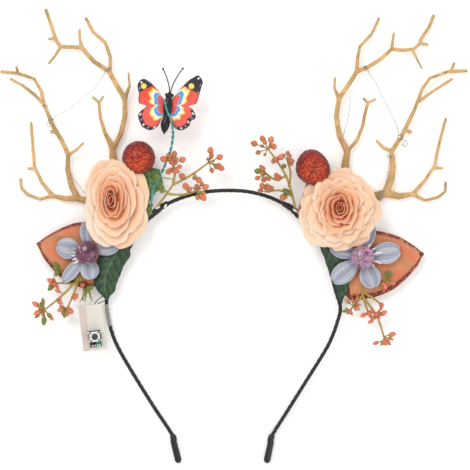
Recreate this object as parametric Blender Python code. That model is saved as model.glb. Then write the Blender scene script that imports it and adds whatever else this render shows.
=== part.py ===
"""Reindeer antler headband with roses, ears, seed pods, berries and a butterfly.

The headband lies on its back on the floor: +X is its wearer's left, +Y runs from the hoop's
ends to its crown, and +Z is its front. All tables and named sizes are in millimetres and
degrees; meshes are written in metres.
"""

import bpy
import bmesh
from math import cos, pi, radians, sin
from mathutils import Matrix, Vector

MM = 0.001
GAP = 0.3

# Hoop
HOOP_CROWN = (-5.5, 24.2)
HOOP_END_Y = -123.5
HOOP_RADIUS = 1.05
HOOP_LEAN = 0.034
HOOP_SIDES = 6
SLEEVE_RADIUS = 1.95
SLEEVE_LENGTH = 12.8
SLEEVE_BORE_CLEARANCE = 0.3
SLEEVE_SIDES = 10
SECTION_STEPS = 3
# length, heading at its start, heading at its end
HOOP_LEFT_SECTIONS = (
    (35.5, 180, 208),
    (12.1, 218, 221),
    (23.5, 235, 246),
    (25.6, 251, 243),
    (30.6, 270, 300),
    (52.6, 300, 304),
    (14.1, 284, 284),
)
HOOP_RIGHT_SECTIONS = (
    (37.5, 3, -32),
    (15.9, -43, -38),
    (17.7, -58, -70),
    (30.2, -75, -75),
    (26.0, -99, -121),
    (53.9, -122, -122),
    (13.4, -102, -102),
)

# Binding wraps: first and last distance along the hoop from its crown. The box strap runs
# down the hoop from level with the top of the battery box.
WRAP_WALL = 0.55
WRAP_BORE_CLEARANCE = 0.45
WRAP_STEPS = 6
WRAP_LEFT_SPAN = (33.0, 54.0)
WRAP_RIGHT_SPAN = (33.5, 53.5)
STRAP_LENGTH = 12.5
STRAP_WALL = 0.5
STRAP_BORE_CLEARANCE = 0.4

# Antlers
# branch, branch it grows from, station on that branch, length, heading at its start,
# heading at its end, root radius, tip radius, clearance of its tip over the floor
ANTLER_SIDES = 5
ANTLER_STEP_LENGTHS = (6.0, 22.0)
ANTLER_STEM_TOP_Z = 3.95
ANTLER_ROOT_OVERLAP = 0.6
ANTLER_TIP_ROUNDING = 0.6
BRANCH_ROLL = 0.37
UPPER_LEFT_ANTLER_START = (-46.2, 10.8)
UPPER_LEFT_ANTLER = (
    ("stem", None, 0.00, 37.3, 156, 94, 1.7, 2.2, 1.0),
    ("fork", "stem", 1.00, 8.9, 94, 100, 2.2, 1.7, 0.9),
    ("left_beam", "fork", 1.00, 25.0, 124, 89, 1.0, 0.9, 4.5),
    ("left_stub_a", "left_beam", 1.00, 4.3, 138, 138, 0.8, 0.7, 5.5),
    ("left_stub_b", "left_beam", 1.00, 4.1, 55, 55, 0.8, 0.7, 4.0),
    ("main_low", "fork", 0.75, 29.5, 55, 98, 1.5, 1.4, 3.0),
    ("main_tine", "main_low", 1.00, 14.5, 54, 108, 0.8, 0.6, 7.5),
    ("main_high", "main_low", 1.00, 17.5, 121, 119, 1.4, 1.3, 3.6),
    ("up_beam", "main_high", 0.92, 17.4, 79, 118, 1.0, 1.0, 2.4),
    ("up_tip", "up_beam", 1.00, 17.5, 150, 108, 1.0, 0.9, 0.8),
    ("out_low", "main_high", 1.00, 19.7, 155, 123, 1.3, 1.2, 3.2),
    ("out_tine", "out_low", 1.00, 10.0, 109, 85, 0.8, 0.7, 6.0),
    ("out_mid", "out_low", 1.00, 11.7, 175, 179, 1.2, 1.1, 2.4),
    ("down_tine", "out_mid", 1.00, 11.2, -117, -132, 0.8, 0.7, 5.0),
    ("out_high", "out_mid", 1.00, 6.6, 133, 109, 1.1, 1.0, 1.6),
    ("out_stub", "out_high", 0.83, 3.7, -175, -175, 0.9, 0.8, 1.6),
    ("out_tip", "out_high", 1.00, 15.6, 106, 111, 1.0, 0.9, 0.0),
)

OUTER_LEFT_ANTLER_START = (-52.3, 2.5)
OUTER_LEFT_ANTLER = (
    ("stem", None, 0.00, 34.6, 142, 161, 1.4, 1.5, 1.0),
    ("fork", "stem", 1.00, 3.9, 167, 167, 1.5, 1.4, 0.9),
    ("up_low", "fork", 1.00, 25.0, 124, 81, 1.4, 1.3, 3.4),
    ("up_tine", "up_low", 1.00, 10.6, 25, 51, 0.8, 0.7, 7.0),
    ("up_mid", "up_low", 1.00, 17.4, 112, 123, 1.3, 1.2, 3.0),
    ("knob", "up_mid", 0.83, 2.8, -176, -176, 1.1, 1.1, 3.2),
    ("up_high", "up_mid", 1.00, 13.8, 114, 113, 1.1, 1.0, 2.6),
    ("left_beam", "up_high", 1.00, 15.0, 92, 129, 1.0, 0.9, 3.0),
    ("left_tip", "left_beam", 1.00, 18.7, 155, 180, 0.9, 0.9, 0.6),
    ("left_stub", "left_tip", 0.50, 3.5, 107, 107, 0.8, 0.8, 2.6),
    ("low_tip", "up_high", 1.00, 22.8, 130, 156, 0.9, 0.8, 5.0),
    ("side_low", "fork", 1.00, 14.0, -171, -201, 1.3, 1.2, 1.4),
    ("side_up", "side_low", 1.00, 19.6, 137, 107, 1.0, 0.9, 1.2),
    ("side_stub", "side_up", 0.92, 4.0, -179, -179, 0.8, 0.8, 1.6),
    ("side_high", "side_up", 1.00, 24.0, 94, 95, 0.9, 0.7, 0.0),
    ("low_beam", "side_low", 1.00, 14.6, -148, -218, 1.0, 1.0, 1.6),
    ("low_end", "low_beam", 1.00, 9.9, 154, 74, 1.0, 0.9, 3.6),
)

UPPER_RIGHT_ANTLER_START = (35.4, 10.5)
UPPER_RIGHT_ANTLER = (
    ("stem", None, 0.00, 36.0, 10, 75, 1.7, 2.3, 1.0),
    ("fork", "stem", 1.00, 12.2, 92, 77, 2.3, 1.8, 0.9),
    ("main_low", "fork", 1.00, 30.4, 125, 73, 1.6, 1.4, 3.0),
    ("main_tine", "main_low", 1.00, 11.6, 129, 76, 0.8, 0.7, 7.5),
    ("main_high", "main_low", 1.00, 17.6, 54, 59, 1.4, 1.3, 3.6),
    ("up_beam", "main_high", 1.00, 13.7, 90, 77, 1.0, 0.9, 2.4),
    ("up_tip", "up_beam", 1.00, 19.5, 38, 74, 0.9, 0.8, 0.8),
    ("out_low", "main_high", 1.00, 23.1, 18, 48, 1.3, 1.1, 3.2),
    ("out_tine", "out_low", 1.00, 8.6, 84, 81, 0.8, 0.7, 6.0),
    ("out_mid", "out_low", 1.00, 12.3, -15, 15, 1.1, 1.0, 2.4),
    ("down_tine", "out_mid", 0.92, 12.0, -64, -63, 0.8, 0.6, 5.0),
    ("out_high", "out_mid", 1.00, 7.7, 28, 81, 1.0, 0.9, 1.6),
    ("out_stub", "out_high", 0.58, 4.7, -7, -7, 0.8, 0.8, 1.6),
    ("out_tip", "out_high", 1.00, 14.2, 50, 73, 0.9, 0.9, 0.0),
    ("right_low", "fork", 1.00, 16.4, 39, 79, 1.0, 1.0, 3.6),
    ("right_beam", "right_low", 1.00, 13.0, 80, 75, 1.0, 0.9, 4.6),
    ("right_stub_a", "right_beam", 1.00, 3.5, 135, 135, 0.8, 0.8, 5.6),
    ("right_stub_b", "right_beam", 1.00, 4.5, 25, 25, 0.8, 0.8, 4.2),
)

OUTER_RIGHT_ANTLER_START = (41.6, 5.0)
OUTER_RIGHT_ANTLER = (
    ("stem", None, 0.00, 35.5, 38, 12, 1.4, 1.6, 1.0),
    ("fork", "stem", 1.00, 9.8, 10, 23, 1.7, 1.4, 0.9),
    ("up_low", "fork", 1.00, 23.9, 61, 103, 1.4, 1.3, 3.4),
    ("up_tine", "up_low", 1.00, 10.1, 170, 123, 0.8, 0.7, 7.0),
    ("up_mid", "up_low", 1.00, 20.2, 53, 68, 1.3, 1.2, 3.0),
    ("knob", "up_mid", 0.67, 3.5, -17, -17, 1.1, 1.1, 3.2),
    ("up_high", "up_mid", 1.00, 10.8, 61, 71, 1.2, 1.0, 2.6),
    ("right_beam", "up_high", 1.00, 14.4, 77, 48, 1.0, 0.9, 3.0),
    ("right_tip", "right_beam", 1.00, 21.1, 29, -6, 0.9, 0.9, 0.6),
    ("right_stub", "right_tip", 0.58, 5.0, 67, 67, 0.8, 0.8, 2.6),
    ("low_tip", "up_high", 0.92, 23.2, 37, 31, 0.9, 0.8, 5.0),
    ("side_low", "fork", 1.00, 15.2, -23, 20, 1.3, 1.2, 1.4),
    ("side_up", "side_low", 1.00, 19.9, 44, 61, 1.0, 0.9, 1.2),
    ("side_stub", "side_up", 0.92, 5.0, -2, -2, 0.8, 0.8, 1.6),
    ("side_high", "side_up", 1.00, 26.6, 80, 73, 0.9, 0.7, 0.0),
    ("low_beam", "side_low", 1.00, 15.0, -49, 34, 1.0, 0.9, 1.6),
    ("low_end", "low_beam", 1.00, 10.0, 15, 111, 0.9, 0.9, 3.6),
)

# Roses
# layer radius at its foot and at its rim, foot height, rim height, ruffles, ruffle depth, turn
ROSE_BACK_Z = 10.3
ROSE_WALL = 1.0
ROSE_SEGMENTS = 14
ROSE_LAYERS = (
    (0.46, 1.00, 0.4, 4.6, 5, 0.075, 16),
    (0.36, 0.78, 1.0, 8.0, 5, 0.080, 62),
    (0.26, 0.56, 1.8, 10.6, 3, 0.090, 10),
    (0.16, 0.34, 2.4, 12.2, 3, 0.100, 80),
)
ROSE_BED_SHARE = 0.50
ROSE_BED_HEIGHT = 3.0
ROSE_BUD_SHARE = 0.13
ROSE_BUD_HEIGHT = 11.6
CALYX_RADIUS = 4.2
CALYX_FOOT_RADIUS = 2.0
ROSE_LEFT_CENTRE = (-65.3, 18.0)
ROSE_LEFT_HALF_SIZE = (16.6, 23.4)
ROSE_RIGHT_CENTRE = (57.2, 13.2)
ROSE_RIGHT_HALF_SIZE = (20.6, 20.6)
ROSE_LEFT_CALYX_FOOT_Z = 4.6
ROSE_RIGHT_CALYX_FOOT_Z = 4.6

# Seed pods
POD_SEGMENTS = 14
POD_RINGS = 8
POD_BEAD_DEPTH = 0.04
POD_Z = 12.2
POD_STALK_RADIUS = 0.9
POD_LEFT_CENTRE = (-52.8, 42.2)
POD_LEFT_RADIUS = 8.2
POD_RIGHT_CENTRE = (42.7, 36.9)
POD_RIGHT_RADIUS = 9.0
POD_RIGHT_STALK_FOOT = (34.8, 12.0, 9.9)

# Ears
# station along the ear, half width above its axis, half width below it, crown of the middle
EAR_UNDERSIDE_Z = 2.9
EAR_WALL = 1.2
EAR_PANEL_WALL = 1.0
EAR_RIM = 1.9
EAR_LIFT = 0.5
EAR_PANEL_START = 0.16
EAR_LEFT_ROOT = (-63.4, -15.5)
EAR_LEFT_HEADING = 167
EAR_LEFT_LENGTH = 46.8
EAR_LEFT_SECTIONS = (
    (0.00, 5.0, 5.0, 0.0),
    (0.14, 12.5, 10.5, 0.0),
    (0.30, 17.9, 16.5, 0.3),
    (0.46, 17.6, 17.6, 0.5),
    (0.60, 16.0, 16.0, 0.6),
    (0.75, 11.7, 11.6, 0.5),
    (0.88, 6.8, 6.3, 0.3),
    (1.00, 0.5, 0.5, 0.0),
)
EAR_RIGHT_ROOT = (52.9, -17.7)
EAR_RIGHT_HEADING = 8
EAR_RIGHT_LENGTH = 51.4
EAR_RIGHT_SECTIONS = (
    (0.00, 5.5, 5.5, 0.0),
    (0.14, 11.5, 19.0, 0.0),
    (0.30, 16.9, 20.2, 0.3),
    (0.48, 16.7, 19.3, 0.5),
    (0.63, 14.3, 16.8, 0.6),
    (0.77, 10.8, 12.3, 0.5),
    (0.91, 5.0, 6.3, 0.3),
    (1.00, 0.5, 0.5, 0.0),
)

# Blue flowers
# petal heading, reach, half width, rise of its tip
PETAL_WALL = 1.0
PETAL_UNDERSIDE_Z = 8.65
PETAL_FOOT = 2.0
PETAL_DISC_RADIUS = 4.0
PETAL_DISC_SIDES = 10
PETAL_CALYX_RADIUS = 2.4
# station along the petal, share of its half width, trough of its middle
PETAL_SECTIONS = (
    (0.00, 0.30, 0.0),
    (0.55, 1.00, -0.3),
    (0.90, 0.72, -0.1),
    (1.00, 0.24, 0.0),
)
FLOWER_LEFT_CENTRE = (-80.9, -9.9)
FLOWER_LEFT_PETALS = (
    (168, 17.0, 5.8, 0.6),
    (92, 17.0, 4.0, 0.0),
    (15, 18.0, 4.6, 0.1),
    (277, 14.6, 5.2, 0.6),
    (230, 20.6, 3.6, 0.3),
)
FLOWER_RIGHT_CENTRE = (69.9, -12.7)
FLOWER_RIGHT_PETALS = (
    (11, 20.8, 6.0, 0.6),
    (292, 17.4, 5.9, 0.6),
    (219, 20.6, 5.6, 0.1),
    (160, 18.6, 4.6, 0.0),
    (74, 19.4, 3.7, 0.0),
)
BEAD_RADIUS = 6.5
BEAD_HEIGHT = 8.6
BEAD_SIDES = 14
BEAD_RINGS = 5

# Berry sprays
# stems: stem, stem it grows from, station on that stem, length, heading at its start and its end
# berries: stem, station on that stem, stalk length, stalk heading, berry radius
STEM_RADIUS = 0.5
STEM_TIP_RADIUS = 0.35
STEM_SIDES = 4
STEM_STEPS = 2
TWIG_RADIUS = 0.3
# station along the berry and share of its radius
BERRY_PROFILE = ((-0.45, 0.92), (0.75, 0.68))
BERRY_SIDES = 5
BERRY_STAGGER = 0.17
UPPER_SPRAY_ROOT_Z = 8.9
UPPER_SPRAY_STEM_Z = 12.0
UPPER_SPRAY_BERRY_Z = 13.4
LOWER_SPRAY_ROOT_Z = 6.6
LOWER_SPRAY_STEM_Z = 6.9
LOWER_SPRAY_BERRY_Z = 8.35
UPPER_LEFT_SPRAY_START = (-42.4, 15.7)
UPPER_LEFT_SPRAY_STEMS = (
    ("main", None, 0.00, 14.2, 52, 56),
    ("twig_a", "main", 1.00, 23.2, 25, 39),
    ("twig_b", "main", 0.58, 17.3, -12, 24),
    ("twig_c", "main", 1.00, 12.6, 69, 117),
)
UPPER_LEFT_SPRAY_BERRIES = (
    ("twig_a", 1.00, 6.8, 82, 1.8),
    ("twig_a", 1.00, 6.8, 26, 1.8),
    ("twig_a", 1.00, 3.2, 68, 1.3),
    ("twig_a", 1.00, 5.0, -27, 1.7),
    ("twig_a", 1.00, 7.6, -24, 1.7),
    ("twig_a", 0.58, 4.8, -57, 1.8),
    ("twig_b", 1.00, 2.6, 100, 1.3),
    ("twig_b", 1.00, 4.9, 24, 1.8),
    ("twig_b", 1.00, 5.1, -52, 1.9),
    ("twig_c", 1.00, 4.8, 157, 1.9),
    ("twig_c", 1.00, 4.8, 73, 1.8),
    ("twig_c", 1.00, 0.3, 91, 1.7),
    ("twig_c", 0.92, 6.2, 24, 1.8),
    ("twig_c", 0.75, 3.6, 11, 1.3),
    ("twig_c", 0.58, 3.2, -180, 1.7),
    ("twig_c", 0.58, 0.9, 39, 1.7),
    ("twig_a", 0.33, 2.1, 146, 1.8),
    ("twig_b", 0.67, 4.0, 105, 1.9),
    ("main", 0.67, 4.5, 145, 1.7),
    ("twig_c", 0.25, 9.8, 172, 1.9),
)

UPPER_RIGHT_SPRAY_START = (33.0, 15.1)
UPPER_RIGHT_SPRAY_STEMS = (
    ("main", None, 0.00, 35.6, 98, 132),
    ("twig_a", "main", 0.33, 14.5, 74, 114),
    ("twig_b", "main", 0.50, 12.0, -133, -240),
    ("twig_c", "main", 0.17, 14.6, 137, 204),
)
UPPER_RIGHT_SPRAY_BERRIES = (
    ("main", 1.00, 8.2, 160, 1.8),
    ("main", 1.00, 6.4, 119, 1.7),
    ("main", 1.00, 5.3, 72, 1.8),
    ("main", 1.00, 3.4, 16, 1.5),
    ("main", 1.00, 5.9, -159, 1.4),
    ("twig_a", 1.00, 4.0, 87, 1.3),
    ("twig_a", 0.92, 2.1, 20, 1.7),
    ("main", 0.75, 3.7, 53, 1.8),
    ("main", 0.83, 1.2, -60, 1.7),
    ("main", 0.67, 2.3, 7, 1.4),
    ("twig_b", 1.00, 5.2, 165, 1.7),
    ("twig_b", 1.00, 3.6, 130, 1.7),
    ("twig_b", 1.00, 5.6, -154, 1.4),
    ("twig_b", 0.92, 3.6, -130, 1.7),
    ("twig_b", 0.42, 0.8, 61, 2.1),
    ("twig_c", 1.00, 4.3, 127, 1.7),
    ("twig_c", 0.92, 1.9, 95, 2.2),
    ("twig_c", 0.33, 3.0, -106, 1.9),
    ("twig_c", 0.25, 0.9, 74, 1.9),
)

LOWER_LEFT_SPRAY_START = (-82.0, -18.4)
LOWER_LEFT_SPRAY_STEMS = (
    ("main", None, 0.00, 32.3, -124, -145),
    ("twig_a", "main", 0.17, 19.4, -104, -117),
    ("twig_b", "twig_a", 0.25, 12.1, 170, 187),
    ("twig_c", "main", 0.08, 12.8, 182, 168),
    ("twig_d", "main", 0.17, 13.7, -60, -103),
)
LOWER_LEFT_SPRAY_BERRIES = (
    ("main", 1.00, 5.9, 148, 1.7),
    ("main", 1.00, 3.3, 121, 1.3),
    ("main", 1.00, 4.2, -158, 1.8),
    ("main", 1.00, 6.2, -93, 1.8),
    ("main", 1.00, 6.0, -50, 1.2),
    ("twig_b", 1.00, 2.9, 148, 1.7),
    ("twig_b", 1.00, 0.3, -88, 2.0),
    ("twig_b", 1.00, 3.2, -134, 1.7),
    ("main", 0.58, 3.7, 152, 1.3),
    ("twig_c", 1.00, 2.8, 128, 1.7),
    ("twig_c", 1.00, 2.4, -126, 1.8),
    ("main", 0.75, 2.7, -28, 1.5),
    ("twig_a", 1.00, 3.3, -170, 1.7),
    ("twig_a", 1.00, 3.5, -108, 1.4),
    ("twig_a", 1.00, 2.0, -34, 2.1),
    ("twig_a", 0.58, 1.8, -26, 1.4),
    ("twig_d", 0.58, 3.6, 15, 1.9),
    ("twig_d", 0.42, 0.3, 89, 1.7),
)

LOWER_RIGHT_SPRAY_START = (69.9, -22.8)
LOWER_RIGHT_SPRAY_STEMS = (
    ("main", None, 0.00, 20.8, -96, -65),
    ("twig_a", "main", 0.58, 26.2, -47, -80),
    ("twig_b", "main", 0.42, 12.0, -26, -43),
    ("twig_c", "main", 0.25, 13.7, 17, 8),
    ("twig_d", "main", 0.50, 10.8, -129, -131),
)
LOWER_RIGHT_SPRAY_BERRIES = (
    ("twig_c", 1.00, 3.5, 71, 1.7),
    ("twig_c", 0.92, 3.1, -89, 1.7),
    ("twig_c", 1.00, 3.2, -30, 1.5),
    ("twig_d", 0.33, 0.9, 148, 1.4),
    ("twig_d", 0.75, 4.4, 140, 1.4),
    ("twig_d", 1.00, 1.2, -102, 1.5),
    ("twig_d", 1.00, 3.3, -169, 1.1),
    ("twig_d", 0.67, 2.3, -48, 1.4),
    ("main", 1.00, 3.1, -157, 1.5),
    ("main", 1.00, 0.5, -10, 2.0),
    ("twig_a", 0.50, 4.3, -149, 1.4),
    ("twig_b", 1.00, 0.7, -45, 1.7),
    ("twig_a", 0.42, 0.6, -3, 1.8),
    ("twig_a", 0.50, 4.2, 35, 1.7),
    ("twig_a", 0.92, 4.9, 14, 1.7),
    ("twig_a", 1.00, 1.1, -80, 2.1),
    ("twig_a", 1.00, 5.3, -162, 1.4),
)

# Leaves: station along the leaf, half width on its left, half width on its right, crown
LEAF_WALL = 0.9
LEAF_DARK_LEFT = (
    (0.00, 0.8, 2.2, 0.0),
    (0.14, 1.6, 6.8, 0.1),
    (0.30, 3.4, 11.2, 0.3),
    (0.48, 1.4, 12.3, 0.4),
    (0.66, 1.3, 12.4, 0.4),
    (0.80, 2.2, 10.6, 0.3),
    (0.92, 0.6, 6.4, 0.1),
    (1.00, 0.3, 0.5, 0.0),
)
LEAF_DARK_LEFT_ROOT = (-57.2, -0.8)
LEAF_DARK_LEFT_HEADING = 250
LEAF_DARK_LEFT_LENGTH = 38.1
LEAF_DARK_RIGHT = (
    (0.00, 1.6, 1.2, 0.0),
    (0.17, 7.2, 1.0, 0.1),
    (0.36, 10.2, 1.0, 0.3),
    (0.56, 11.2, 0.6, 0.3),
    (0.72, 9.6, 0.5, 0.2),
    (0.88, 4.6, 0.8, 0.1),
    (1.00, 0.5, 0.4, 0.0),
)
LEAF_DARK_RIGHT_ROOT = (45.0, 1.4)
LEAF_DARK_RIGHT_HEADING = -71
LEAF_DARK_RIGHT_LENGTH = 41.6
LEAF_LIGHT_LEFT = (
    (0.00, 0.5, 0.8, 0.0),
    (0.27, 3.5, 2.9, 0.1),
    (0.50, 6.0, 5.8, 0.2),
    (0.75, 9.0, 5.4, 0.1),
    (0.95, 9.5, 3.0, 0.0),
)
LEAF_LIGHT_LEFT_ROOT = (-48.4, 17.3)
LEAF_LIGHT_LEFT_HEADING = 77
LEAF_LIGHT_LEFT_LENGTH = 19.7
LEAF_LIGHT_ROOT_Z = 7.55
LEAF_LIGHT_TIP_Z = 3.8
LEAF_OLIVE_LEFT = (
    (0.00, 0.4, 0.4, 0.0),
    (0.28, 1.5, 3.2, 0.1),
    (0.60, 1.6, 3.2, 0.1),
    (0.86, 1.2, 1.6, 0.0),
    (1.00, 0.4, 0.4, 0.0),
)
LEAF_OLIVE_LEFT_ROOT = (-48.4, 8.5)
LEAF_OLIVE_LEFT_HEADING = 93
LEAF_OLIVE_LEFT_LENGTH = 10.5
LEAF_OLIVE_WALL = 0.7
LEAF_GREEN_RIGHT = (
    (0.00, 0.6, 0.6, 0.0),
    (0.42, 2.2, 1.9, 0.1),
    (0.80, 1.8, 1.5, 0.0),
    (1.00, 0.4, 0.4, 0.0),
)
LEAF_GREEN_RIGHT_ROOT = (50.5, 24.5)
LEAF_GREEN_RIGHT_HEADING = 66
LEAF_GREEN_RIGHT_LENGTH = 11.0
LEAF_GREEN_RIGHT_Z = 10.2

# Battery box, switch and circuit board
BOX_CENTRE = (-78.2, -51.2)
BOX_TURN = 6.5
BOX_BACK_WIDTH = 13.0
BOX_FRONT_WIDTH = 9.2
BOX_HEIGHT = 25.4
BOX_BACK_Z = 0.5
BOX_FRONT_Z = 8.5
BOX_EDGE = 0.5
BOARD_SIZE = (6.4, 9.0, 0.8)
BOARD_SHIFT = -1.2
SWITCH_CENTRE = (-76.8, -56.0)
SWITCH_SIDE = 6.0
SWITCH_HEIGHT = 3.2
SWITCH_CORNER = 0.5
PLATE_SIDE = 5.8
PLATE_WALL = 0.4
BUTTON_RADIUS = 1.75
BUTTON_CLEARANCE = 0.2
BUTTON_SEAT = 2.0
BUTTON_PROUD = 1.0
BUTTON_SIDES = 14

# Butterfly
# wing outlines: direction from the middle of the body, reach
WING_CENTRE = (-36.9, 71.2)
WING_UNDERSIDE_Z = 13.0
WING_WALL = 0.8
WING_RISE = 0.10
WING_LEFT_OUTLINE = (
    (135, 3.9), (124, 9.9), (127, 14.5), (131, 18.3), (136, 19.8), (143, 20.0),
    (150, 19.0), (159, 16.8), (170, 16.2), (178, 15.4), (184, 11.6), (191, 14.0),
    (196, 16.0), (202, 17.5), (217, 18.3), (224, 18.3), (235, 17.2), (243, 14.5),
    (246, 12.1), (247, 8.4), (241, 5.0),
)
WING_RIGHT_OUTLINE = (
    (-57, 4.6), (-77, 7.3), (-76, 11.3), (-72, 13.9), (-63, 16.0), (-53, 16.5),
    (-44, 16.7), (-36, 15.7), (-25, 17.0), (-11, 14.0), (-5, 11.6), (1, 15.4),
    (8, 16.6), (19, 18.6), (27, 20.9), (33, 23.0), (43, 23.2), (46, 20.6),
    (49, 16.8), (51, 10.6), (49, 5.1),
)
# body parts: x and y from the middle of the body, half width, half length, half height
BODY_PARTS = (
    (0.0, 0.5, 2.1, 4.2, 2.0),
    (-0.4, -5.6, 1.2, 3.2, 1.2),
    (-1.2, -11.4, 2.1, 4.6, 1.9),
    (0.8, 5.0, 1.7, 1.7, 1.4),
)
BODY_Z = 16.2
BODY_SIDES = 7
BODY_RINGS = 4
# antennae: heading at the start and the end, length
ANTENNAE = (
    (98, 122, 15.4),
    (62, 48, 15.0),
)
ANTENNA_RADIUS = 0.3
ANTENNA_KNOB_RADIUS = 0.6
WIRE_RADIUS = 0.45
WIRE_SIDES = 5
WIRE_STEPS = 3
WIRE_START = (-45.6, 15.7)
# lengths, headings at the start and the end, height of the end
WIRE_SECTIONS = (
    (14.0, 98, 58, 10.4),
    (15.2, 60, 72, 10.5),
    (9.5, 66, 84, 15.0),
    (4.5, 86, 88, 17.2),
    (7.6, 90, 86, 18.4),
    (7.0, 92, 105, 18.5),
    (14.0, 112, 110, 18.6),
)
WIRE_START_Z = 10.35

MATERIALS = {
    "black_tape": ((0.020, 0.019, 0.021), 0.80, 0.0),
    "black_plastic": ((0.022, 0.022, 0.024), 0.40, 0.0),
    "antler_tan": ((0.580, 0.370, 0.150), 0.60, 0.0),
    "rose_peach": ((0.950, 0.600, 0.390), 0.75, 0.0),
    "pod_red": ((0.450, 0.070, 0.020), 0.30, 0.0),
    "ear_brown": ((0.150, 0.035, 0.015), 0.55, 0.2),
    "ear_tan": ((0.600, 0.240, 0.120), 0.85, 0.0),
    "petal_blue": ((0.420, 0.450, 0.600), 0.75, 0.0),
    "bead_burgundy": ((0.200, 0.040, 0.100), 0.20, 0.1),
    "bead_pink": ((0.480, 0.260, 0.360), 0.20, 0.1),
    "berry_coral": ((0.650, 0.190, 0.090), 0.50, 0.0),
    "leaf_dark": ((0.018, 0.050, 0.022), 0.50, 0.0),
    "leaf_light": ((0.160, 0.300, 0.090), 0.60, 0.0),
    "leaf_olive": ((0.180, 0.230, 0.030), 0.60, 0.0),
    "box_beige": ((0.760, 0.680, 0.600), 0.45, 0.0),
    "clear_tape": ((0.500, 0.450, 0.420), 0.25, 0.0),
    "board_green": ((0.080, 0.300, 0.190), 0.45, 0.0),
    "plate_steel": ((0.800, 0.800, 0.800), 0.30, 0.9),
    "button_grey": ((0.045, 0.045, 0.050), 0.45, 0.0),
    "wing_print": ((0.650, 0.160, 0.100), 0.45, 0.0),
    "body_black": ((0.012, 0.011, 0.012), 0.50, 0.0),
    "wire_teal": ((0.040, 0.300, 0.300), 0.30, 0.6),
}


def material(name):
    """The named material, made on first use."""
    found = bpy.data.materials.get(name)
    if found is None:
        colour, roughness, metallic = MATERIALS[name]
        found = bpy.data.materials.new(name)
        found.use_nodes = True
        shader = found.node_tree.nodes["Principled BSDF"]
        shader.inputs["Base Color"].default_value = (*colour, 1.0)
        shader.inputs["Roughness"].default_value = roughness
        shader.inputs["Metallic"].default_value = metallic
        found.diffuse_color = (*colour, 1.0)
    return found


def mesh_object(name, shell):
    """A linked mesh object from a shell's points and faces, still in millimetres."""
    points, faces = shell
    mesh = bpy.data.meshes.new(name)
    mesh.from_pydata([tuple(p) for p in points], [], faces)
    mesh.update()
    work = bmesh.new()
    work.from_mesh(mesh)
    bmesh.ops.recalc_face_normals(work, faces=work.faces)
    work.to_mesh(mesh)
    work.free()
    made = bpy.data.objects.new(name, mesh)
    bpy.context.scene.collection.objects.link(made)
    return made


def bake(target):
    """Replace an object's mesh by the result of its modifiers."""
    depsgraph = bpy.context.evaluated_depsgraph_get()
    result = bpy.data.meshes.new_from_object(target.evaluated_get(depsgraph))
    target.modifiers.clear()
    old = target.data
    target.data = result
    bpy.data.meshes.remove(old)


def combine(target, shells, operation):
    """Union the shells with, or cut them from, the target object, one after another."""
    made = []
    for number, shell in enumerate(shells):
        helper = mesh_object("%s_helper_%d" % (target.name, number), shell)
        made.append(helper)
        modifier = target.modifiers.new("combine_%d" % number, "BOOLEAN")
        modifier.solver = "EXACT"
        modifier.operation = operation
        modifier.object = helper
    bake(target)
    for helper in made:
        mesh = helper.data
        bpy.data.objects.remove(helper)
        bpy.data.meshes.remove(mesh)


def piece(name, shells, material_name, anchor, cuts=()):
    """One fused solid in metres with its material, its origin at the anchor point."""
    made = mesh_object(name, shells[0])
    if len(shells) > 1:
        combine(made, shells[1:], "UNION")
    if cuts:
        combine(made, cuts, "DIFFERENCE")
    made.data.transform(Matrix.Scale(MM, 4) @ Matrix.Translation(-Vector(anchor)))
    made.location = Vector(anchor) * MM
    made.data.materials.clear()
    made.data.materials.append(material(material_name))
    made.data.name = name
    return made


def arc_points(start, length, heading_in, heading_out, steps):
    """Points along a curve whose heading turns evenly."""
    points = [Vector(start)]
    for step in range(steps):
        share = (step + 0.5) / steps
        heading = radians(heading_in + (heading_out - heading_in) * share)
        points.append(points[-1] + Vector((cos(heading), sin(heading))) * (length / steps))
    return points


def ring_faces(rings, sides):
    """Quads that join rings of points, each with as many points as sides."""
    faces = []
    for ring in range(rings - 1):
        for side in range(sides):
            after = (side + 1) % sides
            low = ring * sides
            high = low + sides
            faces.append((low + side, low + after, high + after, high + side))
    return faces


def ring_frame(points, index):
    """Sideways and upward directions across a path at one of its points."""
    before = points[max(index - 1, 0)]
    after = points[min(index + 1, len(points) - 1)]
    along = (after - before).normalized()
    aside = along.cross(Vector((0, 0, 1)))
    if aside.length < 0.01:
        aside = Vector((1, 0, 0))
    aside.normalize()
    return aside, aside.cross(along).normalized()


def tube(points, radii, sides, roll=0.0):
    """A closed tube through points, with a radius at each."""
    rings = []
    for index, (point, radius) in enumerate(zip(points, radii)):
        aside, upward = ring_frame(points, index)
        for side in range(sides):
            angle = 2 * pi * (side + 0.5) / sides + roll
            rings.append(point + (aside * cos(angle) + upward * sin(angle)) * radius)
    faces = ring_faces(len(points), sides)
    faces.append(tuple(range(sides)))
    last = (len(points) - 1) * sides
    faces.append(tuple(range(last, last + sides)))
    return rings, faces


def sleeve(points, bore, outside, sides):
    """A closed pipe around a path, open at both its ends."""
    inner, _ = tube(points, [bore] * len(points), sides)
    outer, _ = tube(points, [outside] * len(points), sides)
    count = len(inner)
    faces = ring_faces(len(points), sides)
    faces += [tuple(corner + count for corner in face) for face in faces]
    for base in (0, count - sides):
        for side in range(sides):
            after = (side + 1) % sides
            faces.append((base + side, base + after, count + base + after, count + base + side))
    return inner + outer, faces


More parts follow.
